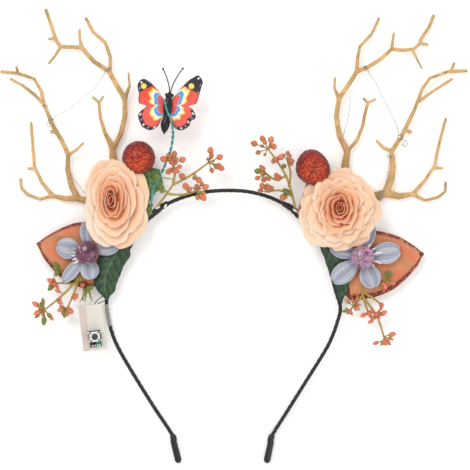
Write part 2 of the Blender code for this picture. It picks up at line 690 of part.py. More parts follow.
def revolve(centre, profile, sides, stretch=(1.0, 1.0), roll=0.0):
    """A closed solid from (radius, height) rows turned about an upright axis."""
    points = []
    for radius, height in profile:
        for side in range(sides):
            angle = 2 * pi * side / sides + roll
            points.append(Vector((centre[0] + radius * cos(angle) * stretch[0],
                                  centre[1] + radius * sin(angle) * stretch[1],
                                  height)))
    faces = ring_faces(len(profile), sides)
    faces.append(tuple(range(sides)))
    last = (len(profile) - 1) * sides
    faces.append(tuple(range(last, last + sides)))
    return points, faces


def ball(centre, half_sizes, sides, rings, roll=0.0):
    """A closed faceted ball with poles on the Z axis."""
    points = [Vector(centre) + Vector((0, 0, half_sizes[2]))]
    for ring in range(1, rings):
        slope = pi * ring / rings
        for side in range(sides):
            angle = 2 * pi * (side + 0.5 * (ring % 2)) / sides + roll
            points.append(Vector(centre) + Vector((half_sizes[0] * sin(slope) * cos(angle),
                                                   half_sizes[1] * sin(slope) * sin(angle),
                                                   half_sizes[2] * cos(slope))))
    points.append(Vector(centre) - Vector((0, 0, half_sizes[2])))
    faces = []
    bottom = len(points) - 1
    for side in range(sides):
        after = (side + 1) % sides
        faces.append((0, 1 + side, 1 + after))
        faces.append((bottom, bottom - sides + after, bottom - sides + side))
    for ring in range(rings - 2):
        low = 1 + ring * sides
        for side in range(sides):
            after = (side + 1) % sides
            faces.append((low + side, low + sides + side, low + sides + after, low + after))
    return points, faces


def plank(centre, size, turn, bottom, corner=0.0, front_size=None):
    """A closed block, its footprint turned about Z, with cut corners if asked."""
    turned = Matrix.Rotation(radians(turn), 2)
    points = []
    for level, (width, height) in enumerate((size[:2], front_size or size[:2])):
        half_w = width / 2
        half_h = height / 2
        loop = [(-half_w + corner, -half_h), (half_w - corner, -half_h)]
        loop += [(half_w, -half_h + corner), (half_w, half_h - corner)]
        loop += [(half_w - corner, half_h), (-half_w + corner, half_h)]
        loop += [(-half_w, half_h - corner), (-half_w, -half_h + corner)]
        if corner == 0.0:
            loop = loop[::2]
        for flat in loop:
            spot = turned @ Vector(flat)
            points.append(Vector((centre[0] + spot.x, centre[1] + spot.y,
                                  bottom + level * size[2])))
    count = len(points) // 2
    faces = ring_faces(2, count)
    faces.append(tuple(range(count)))
    faces.append(tuple(range(count, 2 * count)))
    return points, faces


def blade(root, heading, length, sections, wall, root_z, tip_z, share=1.0):
    """A thin leaf-shaped shell from rows of station, left and right half width, and crown."""
    along = Vector((cos(radians(heading)), sin(radians(heading)), 0))
    aside = Vector((-along.y, along.x, 0))
    points = []
    for station, left, right, crown in sections:
        middle = Vector((*root, root_z + (tip_z - root_z) * station)) + along * (length * station)
        spine = (left - right) * share / 2
        across = (left * share, spine, -right * share)
        for level in (0.0, wall):
            for index, reach in enumerate(across):
                bump = crown if index == 1 else 0.0
                points.append(middle + aside * reach + Vector((0, 0, level + bump)))
    faces = []
    row = 6
    for section in range(len(sections) - 1):
        a = section * row
        b = a + row
        for column in (0, 1):
            faces.append((a + column, a + column + 1, b + column + 1, b + column))
            faces.append((a + column + 3, b + column + 3, b + column + 4, a + column + 4))
        faces.append((a, b, b + 3, a + 3))
        faces.append((a + 2, a + 5, b + 5, b + 2))
    for a in (0, (len(sections) - 1) * row):
        faces.append((a, a + 3, a + 4, a + 1))
        faces.append((a + 1, a + 4, a + 5, a + 2))
    return points, faces


def hoop_height(y):
    """Height of the hoop's middle line over the floor."""
    return SLEEVE_RADIUS + (y - HOOP_END_Y) * HOOP_LEAN


def hoop_half(sections):
    """The hoop's middle line from its crown to one end."""
    points = [Vector((HOOP_CROWN[0], HOOP_CROWN[1], hoop_height(HOOP_CROWN[1])))]
    for length, heading_in, heading_out in sections:
        flat = arc_points(points[-1].xy, length, heading_in, heading_out, SECTION_STEPS)
        points += [Vector((p.x, p.y, hoop_height(p.y))) for p in flat[1:]]
    return points


def hoop_point(half, distance):
    """The point a distance along half of the hoop from its crown."""
    for before, after in zip(half, half[1:]):
        step = (after - before).length
        if distance <= step:
            return before.lerp(after, distance / step)
        distance -= step
    return half[-1].copy()


def distance_to_level(half, level):
    """Distance along half of the hoop from its crown to where it comes down to a level in Y."""
    distance = 0.0
    for before, after in zip(half, half[1:]):
        if after.y <= level:
            return distance + (after - before).length * (before.y - level) / (before.y - after.y)
        distance += (after - before).length
    return distance


def hoop_span(half, span, steps):
    """Evenly spaced points between two distances along half of the hoop."""
    first, last = span
    return [hoop_point(half, first + (last - first) * n / steps) for n in range(steps + 1)]


def half_length(half):
    """Length of half of the hoop."""
    return sum((b - a).length for a, b in zip(half, half[1:]))


def build_hoop(left, right):
    """The hoop, its end sleeves, its wraps and the box strap."""
    line = list(reversed(left)) + right[1:]
    piece("headband_hoop", [tube(line, [HOOP_RADIUS] * len(line), HOOP_SIDES)],
          "black_tape", left[0])
    bore = HOOP_RADIUS + SLEEVE_BORE_CLEARANCE
    for side, half in (("left", left), ("right", right)):
        total = half_length(half)
        start = hoop_point(half, total - SLEEVE_LENGTH)
        along = (half[-1] - start).normalized()
        tip = half[-1] + along * (GAP + 1.2)
        cap = tube([start, tip - along * 0.6, tip],
                   [SLEEVE_RADIUS, SLEEVE_RADIUS, SLEEVE_RADIUS * 0.7], SLEEVE_SIDES)
        hollow = tube([start - along, half[-1] + along * GAP], [bore, bore], SLEEVE_SIDES)
        piece("end_sleeve_" + side, [cap], "black_plastic", start, [hollow])
    for name, half, span in (("binding_wrap_left", left, WRAP_LEFT_SPAN),
                             ("binding_wrap_right", right, WRAP_RIGHT_SPAN)):
        line = hoop_span(half, span, WRAP_STEPS)
        bore = HOOP_RADIUS + WRAP_BORE_CLEARANCE
        piece(name, [sleeve(line, bore, bore + WRAP_WALL, HOOP_SIDES)], "black_tape", line[0])
    start = distance_to_level(left, BOX_CENTRE[1] + BOX_HEIGHT / 2)
    line = hoop_span(left, (start, start + STRAP_LENGTH), WRAP_STEPS // 2)
    bore = HOOP_RADIUS + STRAP_BORE_CLEARANCE
    piece("box_strap", [sleeve(line, bore, bore + STRAP_WALL, HOOP_SIDES)],
          "clear_tape", line[0])


def build_antler(name, start, rows):
    """One antler fused from its branches; a branch at its parent's tip runs on from it."""
    lines = {}
    runs = []
    for branch, parent, station, length, turn_in, turn_out, root, tip, clearance in rows:
        if parent is None:
            origin = Vector((*start, ANTLER_STEM_TOP_Z - root))
        else:
            origin = along_line(lines[parent], station)
        steps = 1 + sum(length > limit for limit in ANTLER_STEP_LENGTHS)
        flat = arc_points(origin.xy, length, turn_in, turn_out, steps)
        points = []
        for step, spot in enumerate(flat):
            height = origin.z + (clearance + tip - origin.z) * step / steps
            points.append(Vector((spot.x, spot.y, height)))
        lines[branch] = points
        radii = [root + (tip - root) * step / steps for step in range(steps + 1)]
        runs_on = [run for run in runs if run["last"] == parent and station == 1.0]
        if runs_on:
            runs_on[0]["points"] += points[1:]
            runs_on[0]["radii"] += radii[1:]
            runs_on[0]["last"] = branch
        else:
            line = [point.copy() for point in points]
            if parent is not None:
                line[0] -= (line[1] - line[0]).normalized() * root * ANTLER_ROOT_OVERLAP
            runs.append({"points": line, "radii": radii, "last": branch})
    shells = []
    for run in runs:
        line = run["points"]
        tip = run["radii"][-1]
        line.append(line[-1] + (line[-1] - line[-2]).normalized() * tip * ANTLER_TIP_ROUNDING)
        run["radii"].append(tip * ANTLER_TIP_ROUNDING)
        shells.append(tube(line, run["radii"], ANTLER_SIDES, BRANCH_ROLL * len(shells)))
    piece(name, shells, "antler_tan", (*start, 0.0))


def rose_layer(centre, half_size, layer):
    """One ruffled cup of petals, open at its top."""
    foot, rim, foot_z, rim_z, ruffles, depth, turn = layer
    wall = ROSE_WALL / half_size[0]
    profile = ((foot, foot_z, 0.0), ((foot + rim) * 0.5, (foot_z + rim_z) * 0.42, 0.5),
               (rim, rim_z, 1.0))
    points = []
    for inward in (0.0, wall):
        for radius, height, ruffle in profile:
            for side in range(ROSE_SEGMENTS):
                angle = 2 * pi * side / ROSE_SEGMENTS + radians(turn) * BRANCH_ROLL
                wave = abs(cos((angle - radians(turn)) * ruffles / 2))
                reach = radius * (1 - depth * ruffle * (1 - wave) * 2) - inward
                rise = height - wave * ruffle * 0.6
                points.append(Vector((centre[0] + half_size[0] * reach * cos(angle),
                                      centre[1] + half_size[1] * reach * sin(angle),
                                      ROSE_BACK_Z + rise)))
    count = len(points) // 2
    faces = ring_faces(len(profile), ROSE_SEGMENTS)
    faces += [tuple(corner + count for corner in face) for face in faces]
    for base in (0, count - ROSE_SEGMENTS):
        for side in range(ROSE_SEGMENTS):
            after = (side + 1) % ROSE_SEGMENTS
            faces.append((base + side, base + after, count + base + after, count + base + side))
    return points, faces


def build_rose(name, centre, half_size, foot_z):
    """A rose fused from its calyx, bed, petal layers and bud."""
    shape = (1.0, half_size[1] / half_size[0])
    width = half_size[0]
    bed = revolve(centre, ((ROSE_BED_SHARE * width * 0.9, ROSE_BACK_Z),
                           (ROSE_BED_SHARE * width, ROSE_BACK_Z + 0.8),
                           (ROSE_BED_SHARE * width * 0.7, ROSE_BACK_Z + ROSE_BED_HEIGHT)),
                  ROSE_SEGMENTS, shape, BRANCH_ROLL / 4)
    bud = revolve(centre, ((ROSE_BUD_SHARE * width, ROSE_BACK_Z + 1.0),
                           (ROSE_BUD_SHARE * width * 1.2, ROSE_BACK_Z + ROSE_BUD_HEIGHT * 0.6),
                           (ROSE_BUD_SHARE * width * 0.5, ROSE_BACK_Z + ROSE_BUD_HEIGHT)),
                  PETAL_DISC_SIDES, roll=BRANCH_ROLL)
    calyx = revolve(centre, ((CALYX_FOOT_RADIUS, foot_z), (CALYX_RADIUS, ROSE_BACK_Z + 0.5)),
                    PETAL_DISC_SIDES)
    layers = [rose_layer(centre, half_size, layer) for layer in ROSE_LAYERS]
    piece(name, [bed, calyx, bud] + layers, "rose_peach", (*centre, ROSE_BACK_Z))


def build_pod(name, centre, radius, foot=None):
    """A bead-covered pod, with a stalk that ties it to the hoop if it has a foot."""
    middle = Vector((*centre, POD_Z))
    points, faces = ball(middle, (radius, radius, radius * 0.92), POD_SEGMENTS, POD_RINGS)
    for index, point in enumerate(points):
        bump = 1.0 + POD_BEAD_DEPTH * (1 if index % 2 else -1) * 0.5
        points[index] = middle + (point - middle) * bump
    shells = [(points, faces)]
    if foot is None:
        piece(name, shells, "pod_red", middle)
        return
    foot = Vector(foot)
    knee = Vector((foot.x + (middle.x - foot.x) * 0.4, foot.y + (middle.y - foot.y) * 0.4,
                   POD_Z - radius * 0.2))
    stalk = tube([foot, knee, middle], [POD_STALK_RADIUS] * 3, ANTLER_SIDES)
    piece(name, shells + [stalk], "pod_red", middle)


def build_ear(side, root, heading, length, sections):
    """An ear's base and the panel on it."""
    piece("ear_" + side,
          [blade(root, heading, length, sections, EAR_WALL, EAR_UNDERSIDE_Z,
                 EAR_UNDERSIDE_Z + EAR_LIFT)],
          "ear_brown", (*root, EAR_UNDERSIDE_Z))
    along = Vector((cos(radians(heading)), sin(radians(heading))))
    inner_root = Vector(root) + along * length * EAR_PANEL_START
    end = 1.0 - 2.4 * EAR_RIM / length
    inner = []
    for station, left, right, crown in sections:
        inside = EAR_PANEL_START + (end - EAR_PANEL_START) * station
        inner.append((station, half_width(sections, inside, 1) - EAR_RIM,
                      half_width(sections, inside, 2) - EAR_RIM,
                      half_width(sections, inside, 3)))
    level = EAR_UNDERSIDE_Z + EAR_WALL + GAP + 0.1
    piece("ear_panel_" + side,
          [blade(inner_root, heading, length * (end - EAR_PANEL_START), inner, EAR_PANEL_WALL,
                 level + EAR_LIFT * EAR_PANEL_START, level + EAR_LIFT * end)],
          "ear_tan", (*inner_root, level))


def half_width(sections, station, column):
    """A column of a blade's table, read between its rows."""
    for before, after in zip(sections, sections[1:]):
        if station <= after[0]:
            share = (station - before[0]) / (after[0] - before[0])
            return before[column] + (after[column] - before[column]) * share
    return sections[-1][column]


def build_flower(side, centre, petals, bead_material):
    """A five-petalled flower and the bead at its middle."""
    shells = [revolve(centre, ((PETAL_DISC_RADIUS, PETAL_UNDERSIDE_Z),
                               (PETAL_DISC_RADIUS, PETAL_UNDERSIDE_Z + PETAL_WALL)),
                      PETAL_DISC_SIDES)]
    floor = EAR_UNDERSIDE_Z + EAR_WALL + EAR_PANEL_WALL + 3 * GAP + EAR_LIFT * 0.6
    shells.append(revolve(centre, ((PETAL_CALYX_RADIUS * 0.7, floor),
                                   (PETAL_CALYX_RADIUS, PETAL_UNDERSIDE_Z + 0.2)),
                          PETAL_DISC_SIDES))
    for number, (heading, reach, half, rise) in enumerate(petals):
        along = Vector((cos(radians(heading)), sin(radians(heading))))
        root = Vector(centre) + along * PETAL_FOOT
        rows = [(station, half * share, half * share, trough)
                for station, share, trough in PETAL_SECTIONS]
        start = PETAL_UNDERSIDE_Z + 0.02 * number
        shells.append(blade(root, heading, reach - PETAL_FOOT, rows, PETAL_WALL, start,
                            start + rise))
    piece("blue_flower_" + side, shells, "petal_blue", (*centre, PETAL_UNDERSIDE_Z))
    foot = PETAL_UNDERSIDE_Z + PETAL_WALL + GAP + 0.1
    profile = []
    for ring in range(BEAD_RINGS + 1):
        slope = pi * (0.16 + 0.80 * ring / BEAD_RINGS)
        profile.append((BEAD_RADIUS * sin(slope), -cos(slope)))
    low = profile[0][1]
    high = profile[-1][1]
    profile = [(r, foot + (h - low) / (high - low) * BEAD_HEIGHT) for r, h in profile]
    piece("flower_bead_" + side, [revolve(centre, profile, BEAD_SIDES)], bead_material,
          (*centre, foot))


def berry(origin, middle, radius, roll):
    """A berry and its stalk as one closed shell."""
    along = (middle - origin).normalized()
    foot = min(0.0, (middle - origin).length - 1.3 * radius)
    profile = [(origin + along * foot, TWIG_RADIUS)]
    profile += [(middle + along * radius * reach, radius * share)
                for reach, share in BERRY_PROFILE]
    return tube([point for point, _ in profile], [size for _, size in profile],
                BERRY_SIDES, roll)


def build_spray(name, start, stems, berries, heights):
    """A spray fused from its stems, stalks and berries."""
    root_z, stem_z, berry_z = heights
    lines = {}
    shells = []
    for stem, parent, station, length, turn_in, turn_out in stems:
        if parent is None:
            origin = Vector((*start, root_z))
        else:
            origin = along_line(lines[parent], station)
        flat = arc_points(origin.xy, length, turn_in, turn_out, STEM_STEPS)
        points = [Vector((p.x, p.y, origin.z + (stem_z - origin.z) * min(1.0, 1.5 * n / STEM_STEPS)))
                  for n, p in enumerate(flat)]
        lines[stem] = points
        radii = [STEM_RADIUS + (STEM_TIP_RADIUS - STEM_RADIUS) * n / STEM_STEPS
                 for n in range(STEM_STEPS + 1)]
        line = [p.copy() for p in points]
        if parent is not None:
            line[0] -= (line[1] - line[0]).normalized() * STEM_RADIUS * 0.5
        shells.append(tube(line, radii, STEM_SIDES, BRANCH_ROLL * len(shells)))
    for number, (stem, station, length, heading, radius) in enumerate(berries):
        origin = along_line(lines[stem], station)
        stagger = BERRY_STAGGER * (number % 3)
        tip = Vector((origin.x + length * cos(radians(heading)),
                      origin.y + length * sin(radians(heading)), berry_z + stagger))
        shells.append(berry(origin, tip, radius, BRANCH_ROLL * len(shells)))
    piece(name, shells, "berry_coral", (*start, root_z))


def along_line(points, station):
    """The point at a share of the way along a line of points."""
    place = station * (len(points) - 1)
    index = min(int(place), len(points) - 2)
    return points[index].lerp(points[index + 1], place - index)


def build_leaves():
    """The five leaves."""
    lift = HOOP_RADIUS + GAP
    for name, root, heading, length, rows in (
            ("leaf_dark_left", LEAF_DARK_LEFT_ROOT, LEAF_DARK_LEFT_HEADING,
             LEAF_DARK_LEFT_LENGTH, LEAF_DARK_LEFT),
            ("leaf_dark_right", LEAF_DARK_RIGHT_ROOT, LEAF_DARK_RIGHT_HEADING,
             LEAF_DARK_RIGHT_LENGTH, LEAF_DARK_RIGHT)):
        tip_y = root[1] + length * sin(radians(heading))
        base = hoop_height(root[1]) + lift
        tip = hoop_height(tip_y) + lift
        piece(name, [blade(root, heading, length, rows, LEAF_WALL, base, tip)],
              "leaf_dark", (*root, base))
    piece("leaf_light_left",
          [blade(LEAF_LIGHT_LEFT_ROOT, LEAF_LIGHT_LEFT_HEADING, LEAF_LIGHT_LEFT_LENGTH,
                 LEAF_LIGHT_LEFT, LEAF_WALL, LEAF_LIGHT_ROOT_Z, LEAF_LIGHT_TIP_Z)],
          "leaf_light", (*LEAF_LIGHT_LEFT_ROOT, LEAF_LIGHT_ROOT_Z))
    wrap_top = (hoop_height(LEAF_OLIVE_LEFT_ROOT[1]) + HOOP_RADIUS + WRAP_BORE_CLEARANCE
                + WRAP_WALL + GAP)
    piece("leaf_olive_left",
          [blade(LEAF_OLIVE_LEFT_ROOT, LEAF_OLIVE_LEFT_HEADING, LEAF_OLIVE_LEFT_LENGTH,
                 LEAF_OLIVE_LEFT, LEAF_OLIVE_WALL, wrap_top,
                 wrap_top + HOOP_LEAN * LEAF_OLIVE_LEFT_LENGTH)],
          "leaf_olive", (*LEAF_OLIVE_LEFT_ROOT, wrap_top))
    piece("leaf_green_right",
          [blade(LEAF_GREEN_RIGHT_ROOT, LEAF_GREEN_RIGHT_HEADING, LEAF_GREEN_RIGHT_LENGTH,
                 LEAF_GREEN_RIGHT, LEAF_WALL, LEAF_GREEN_RIGHT_Z,
                 LEAF_GREEN_RIGHT_Z)],
          "leaf_light", (*LEAF_GREEN_RIGHT_ROOT, LEAF_GREEN_RIGHT_Z))


def build_box():
    """The battery box, its circuit board and its push switch."""
    turned = Matrix.Rotation(radians(BOX_TURN), 2)
    back = plank(BOX_CENTRE, (BOX_BACK_WIDTH, BOX_HEIGHT, BOX_FRONT_Z - BOX_BACK_Z), BOX_TURN,
                 BOX_BACK_Z, BOX_EDGE, (BOX_FRONT_WIDTH, BOX_HEIGHT - BOX_EDGE))
    points, faces = back
    count = len(points) // 2
    slide = turned @ Vector(((BOX_BACK_WIDTH - BOX_FRONT_WIDTH) / 2, 0))
    for index in range(count, 2 * count):
        points[index] += Vector((slide.x, slide.y, 0))
    piece("battery_box", [(points, faces)], "box_beige", (*BOX_CENTRE, BOX_BACK_Z))
    board_z = BOX_FRONT_Z + GAP
    shift = turned @ Vector((0, BOARD_SHIFT))
    board_centre = (SWITCH_CENTRE[0] + shift.x, SWITCH_CENTRE[1] + shift.y)
    piece("circuit_board", [plank(board_centre, BOARD_SIZE, BOX_TURN, board_z)],
          "board_green", (*board_centre, board_z))
    housing_z = board_z + BOARD_SIZE[2] + GAP
    top = housing_z + SWITCH_HEIGHT
    bore = BUTTON_RADIUS + BUTTON_CLEARANCE
    well = revolve(SWITCH_CENTRE, ((bore, top - BUTTON_SEAT - 0.5), (bore, top + 1.0)),
                   BUTTON_SIDES)
    piece("switch_housing",
          [plank(SWITCH_CENTRE, (SWITCH_SIDE, SWITCH_SIDE, SWITCH_HEIGHT), BOX_TURN, housing_z,
                 SWITCH_CORNER)],
          "black_plastic", (*SWITCH_CENTRE, housing_z), [well])
    plate_z = top + GAP
    hole = revolve(SWITCH_CENTRE, ((bore, plate_z - 1.0), (bore, plate_z + 2.0)), BUTTON_SIDES)
    piece("switch_plate",
          [plank(SWITCH_CENTRE, (PLATE_SIDE, PLATE_SIDE, PLATE_WALL), BOX_TURN, plate_z,
                 SWITCH_CORNER)],
          "plate_steel", (*SWITCH_CENTRE, plate_z), [hole])
    button_z = top - BUTTON_SEAT
    button_top = plate_z + PLATE_WALL + BUTTON_PROUD
    piece("switch_button",
          [revolve(SWITCH_CENTRE, ((BUTTON_RADIUS, button_z), (BUTTON_RADIUS, button_top - 0.2),
                                   (BUTTON_RADIUS - 0.2, button_top)), BUTTON_SIDES)],
          "button_grey", (*SWITCH_CENTRE, button_z))


def wings(outline):
    """Both pairs of wings as one thin shell that fans out from under the body."""
    hub = Vector(WING_CENTRE)
    rim = [hub + Vector((cos(radians(a)), sin(radians(a)))) * r for a, r in outline]
    points = []
    for level in (0.0, WING_WALL):
        for spot in [hub] + rim:
            rise = abs(spot.x - WING_CENTRE[0]) * WING_RISE
            points.append(Vector((spot.x, spot.y, WING_UNDERSIDE_Z + rise + level)))
    count = len(rim) + 1
    faces = []
    for index in range(1, count):
        after = index % (count - 1) + 1
        faces.append((0, index, after))
        faces.append((count, count + after, count + index))
        faces.append((index, after, count + after, count + index))
    return points, faces


def build_butterfly():
    """The butterfly's wings, body and carrying wire."""
    middle = Vector((*WING_CENTRE, BODY_Z))
    piece("butterfly_wings", [wings(WING_LEFT_OUTLINE + WING_RIGHT_OUTLINE)],
          "wing_print", (*WING_CENTRE, WING_UNDERSIDE_Z))
    shells = []
    for x, y, half_w, half_l, half_h in BODY_PARTS:
        shells.append(ball(middle + Vector((x, y, BERRY_STAGGER * len(shells) / 2)),
                           (half_w, half_l, half_h), BODY_SIDES, BODY_RINGS,
                           BRANCH_ROLL * len(shells)))
    head = middle + Vector((BODY_PARTS[3][0], BODY_PARTS[3][1], 0))
    for turn_in, turn_out, length in ANTENNAE:
        flat = arc_points(head.xy, length, turn_in, turn_out, STEM_STEPS)
        line = [Vector((p.x, p.y, BODY_Z)) for p in flat]
        shells.append(tube(line, [ANTENNA_RADIUS] * len(line), STEM_SIDES,
                           BRANCH_ROLL * len(shells)))
        knob = ANTENNA_KNOB_RADIUS
        shells.append(ball(line[-1], (knob, knob, knob), BERRY_SIDES, 3,
                           BRANCH_ROLL * len(shells)))
    piece("butterfly_body", shells, "body_black", middle)
    line = [Vector((*WIRE_START, WIRE_START_Z))]
    for length, turn_in, turn_out, height in WIRE_SECTIONS:
        flat = arc_points(line[-1].xy, length, turn_in, turn_out, WIRE_STEPS)
        low = line[-1].z
        for step, spot in enumerate(flat[1:], 1):
            line.append(Vector((spot.x, spot.y, low + (height - low) * step / WIRE_STEPS)))
    piece("butterfly_wire", [tube(line, [WIRE_RADIUS] * len(line), WIRE_SIDES)],
          "wire_teal", line[0])


def centre_footprint():
    """Shift every piece so that the origin is the middle of the footprint, on the floor."""
    pieces = [made for made in bpy.data.objects if made.type == "MESH"]
    corners = [made.location + vertex.co for made in pieces for vertex in made.data.vertices]
    low = Vector([min(corner[axis] for corner in corners) for axis in range(3)])
    high = Vector([max(corner[axis] for corner in corners) for axis in range(3)])
    shift = Vector(((low.x + high.x) / 2, (low.y + high.y) / 2, low.z))
    for made in pieces:
        made.location -= shift


def main():
    """Build every piece of the headband."""
    for old in list(bpy.data.objects):
        bpy.data.objects.remove(old, do_unlink=True)
    left = hoop_half(HOOP_LEFT_SECTIONS)
    right = hoop_half(HOOP_RIGHT_SECTIONS)
    build_hoop(left, right)
    build_antler("antler_upper_left", UPPER_LEFT_ANTLER_START, UPPER_LEFT_ANTLER)
    build_antler("antler_outer_left", OUTER_LEFT_ANTLER_START, OUTER_LEFT_ANTLER)
    build_antler("antler_upper_right", UPPER_RIGHT_ANTLER_START, UPPER_RIGHT_ANTLER)
    build_antler("antler_outer_right", OUTER_RIGHT_ANTLER_START, OUTER_RIGHT_ANTLER)
    build_rose("rose_left", ROSE_LEFT_CENTRE, ROSE_LEFT_HALF_SIZE, ROSE_LEFT_CALYX_FOOT_Z)
    build_rose("rose_right", ROSE_RIGHT_CENTRE, ROSE_RIGHT_HALF_SIZE, ROSE_RIGHT_CALYX_FOOT_Z)
    build_pod("seed_pod_left", POD_LEFT_CENTRE, POD_LEFT_RADIUS)
    build_pod("seed_pod_right", POD_RIGHT_CENTRE, POD_RIGHT_RADIUS, POD_RIGHT_STALK_FOOT)
    build_ear("left", EAR_LEFT_ROOT, EAR_LEFT_HEADING, EAR_LEFT_LENGTH, EAR_LEFT_SECTIONS)
    build_ear("right", EAR_RIGHT_ROOT, EAR_RIGHT_HEADING, EAR_RIGHT_LENGTH, EAR_RIGHT_SECTIONS)
    build_flower("left", FLOWER_LEFT_CENTRE, FLOWER_LEFT_PETALS, "bead_burgundy")
    build_flower("right", FLOWER_RIGHT_CENTRE, FLOWER_RIGHT_PETALS, "bead_pink")
    upper = (UPPER_SPRAY_ROOT_Z, UPPER_SPRAY_STEM_Z, UPPER_SPRAY_BERRY_Z)
    lower = (LOWER_SPRAY_ROOT_Z, LOWER_SPRAY_STEM_Z, LOWER_SPRAY_BERRY_Z)
    build_spray("berry_spray_upper_left", UPPER_LEFT_SPRAY_START, UPPER_LEFT_SPRAY_STEMS,
                UPPER_LEFT_SPRAY_BERRIES, upper)
    build_spray("berry_spray_upper_right", UPPER_RIGHT_SPRAY_START, UPPER_RIGHT_SPRAY_STEMS,
                UPPER_RIGHT_SPRAY_BERRIES, upper)
    build_spray("berry_spray_lower_left", LOWER_LEFT_SPRAY_START, LOWER_LEFT_SPRAY_STEMS,
                LOWER_LEFT_SPRAY_BERRIES, lower)
    build_spray("berry_spray_lower_right", LOWER_RIGHT_SPRAY_START, LOWER_RIGHT_SPRAY_STEMS,
                LOWER_RIGHT_SPRAY_BERRIES, lower)
    build_leaves()
    build_box()
    build_butterfly()
    centre_footprint()


main()
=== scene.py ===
import random
from math import atan2, cos, exp, hypot, pi, radians, sin, sqrt

import bpy
from mathutils import Matrix, Vector, noise


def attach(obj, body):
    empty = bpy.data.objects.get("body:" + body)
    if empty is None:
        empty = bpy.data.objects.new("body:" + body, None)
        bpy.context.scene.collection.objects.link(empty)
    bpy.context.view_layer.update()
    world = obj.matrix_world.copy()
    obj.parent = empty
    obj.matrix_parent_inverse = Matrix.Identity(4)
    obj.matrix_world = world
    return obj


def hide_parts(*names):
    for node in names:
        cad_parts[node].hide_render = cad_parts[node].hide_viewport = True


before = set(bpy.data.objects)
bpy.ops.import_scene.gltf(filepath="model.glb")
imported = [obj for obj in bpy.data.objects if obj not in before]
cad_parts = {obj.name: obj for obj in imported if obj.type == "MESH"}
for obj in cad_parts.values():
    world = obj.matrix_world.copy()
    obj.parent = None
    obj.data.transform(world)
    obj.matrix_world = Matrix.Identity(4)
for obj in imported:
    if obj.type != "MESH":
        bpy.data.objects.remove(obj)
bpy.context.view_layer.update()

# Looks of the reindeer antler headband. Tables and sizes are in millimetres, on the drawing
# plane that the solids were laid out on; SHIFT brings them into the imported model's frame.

MM = 0.001
SHIFT = Vector((0.524, 0.431, 0.031))
PIXEL = 0.55
PHOTO_MIDDLE = (235.0, 234.5)
BODY = "headband"
UP = Vector((0, 0, 1))

# Hoop. Sections: length, heading at the start and at the end
HOOP_CROWN = (-5.5, 24.2)
HOOP_END_Y = -123.5
HOOP_RADIUS = 1.05
HOOP_LEAN = 0.034
HOOP_STEPS = 3
HOOP_DETAIL = 0.42
HOOP_SECTIONS = {
    "left": (
        (35.5, 180, 208), (12.1, 218, 221), (23.5, 235, 246), (25.6, 251, 243),
        (30.6, 270, 300), (52.6, 300, 304), (14.1, 284, 284),
    ),
    "right": (
        (37.5, 3, -32), (15.9, -43, -38), (17.7, -58, -70), (30.2, -75, -75),
        (26.0, -99, -121), (53.9, -122, -122), (13.4, -102, -102),
    ),
}
# Tape on the hoop and on its two bindings: radius, ridge, pitch, lumps, taper
HOOP_TAPE = (HOOP_RADIUS - 0.08, 0.22, 3.4)
WRAP_TAPE = (1.72, 0.32, 2.9, 0.16, 0.18)
HOOP_SIDES = 16
WRAP_SIDES = 28
WRAP_SPANS = {"left": (33.0, 54.0), "right": (33.5, 53.5)}
SLEEVE_RADIUS = 1.95
SLEEVE_LENGTH = 12.8
SLEEVE_END = 0.7
SLEEVE_SIDES = 36
STRAP_LENGTH = 12.5
STRAP_RADIUS = 1.72
STRAP_WAVE = 0.22
STRAP_SIDES = 32
# Glue on the binding: place on the photograph, half length, turn
GLUE_SPOTS = ((158.0, 207.5, 1.5, 30), (165.5, 206.0, 1.3, 60), (295.0, 210.5, 1.6, -35))
GLUE_LIFT = 1.75

# Antlers: root, and how much thicker each is near it, between two distances from it. LOWEST is
# the least height of their skin over the floor
ANTLER_VOXEL = 0.34
ANTLER_RELAX = 7
ANTLER_SWELL = 0.16
LOWEST = 0.06
CLAY_LUMPS = 0.20
CLAY_GRAIN = 0.10
ANTLERS = (
    ("antler_upper_left", (-46.2, 10.8), 0.55, 14.0, 46.0),
    ("antler_outer_left", (-52.3, 2.5), 0.75, 20.0, 60.0),
    ("antler_upper_right", (35.4, 10.5), 0.65, 16.0, 50.0),
    ("antler_outer_right", (41.6, 5.0), 1.25, 36.0, 66.0),
)

# Roses: middle, half size, eye from the middle, heading and strength of the palest side, seed
# of the draws, and layers. A layer: petals, first heading, spread of each, foot and rim as
# shares of the half size, height of the foot and of the rim over the back, curl, ruffle
ROSE_BACK_Z = 10.3
ROSE_PETAL_WALL = 0.22
CALYX_RADIUS = 4.2
CALYX_FOOT_RADIUS = 2.0
CALYX_PROFILE = ((CALYX_FOOT_RADIUS * 0.8, 4.7), (CALYX_FOOT_RADIUS, 5.6), (2.5, 7.6),
                 (3.6, 9.4), (CALYX_RADIUS, ROSE_BACK_Z + 0.2), (2.2, ROSE_BACK_Z + 0.6))
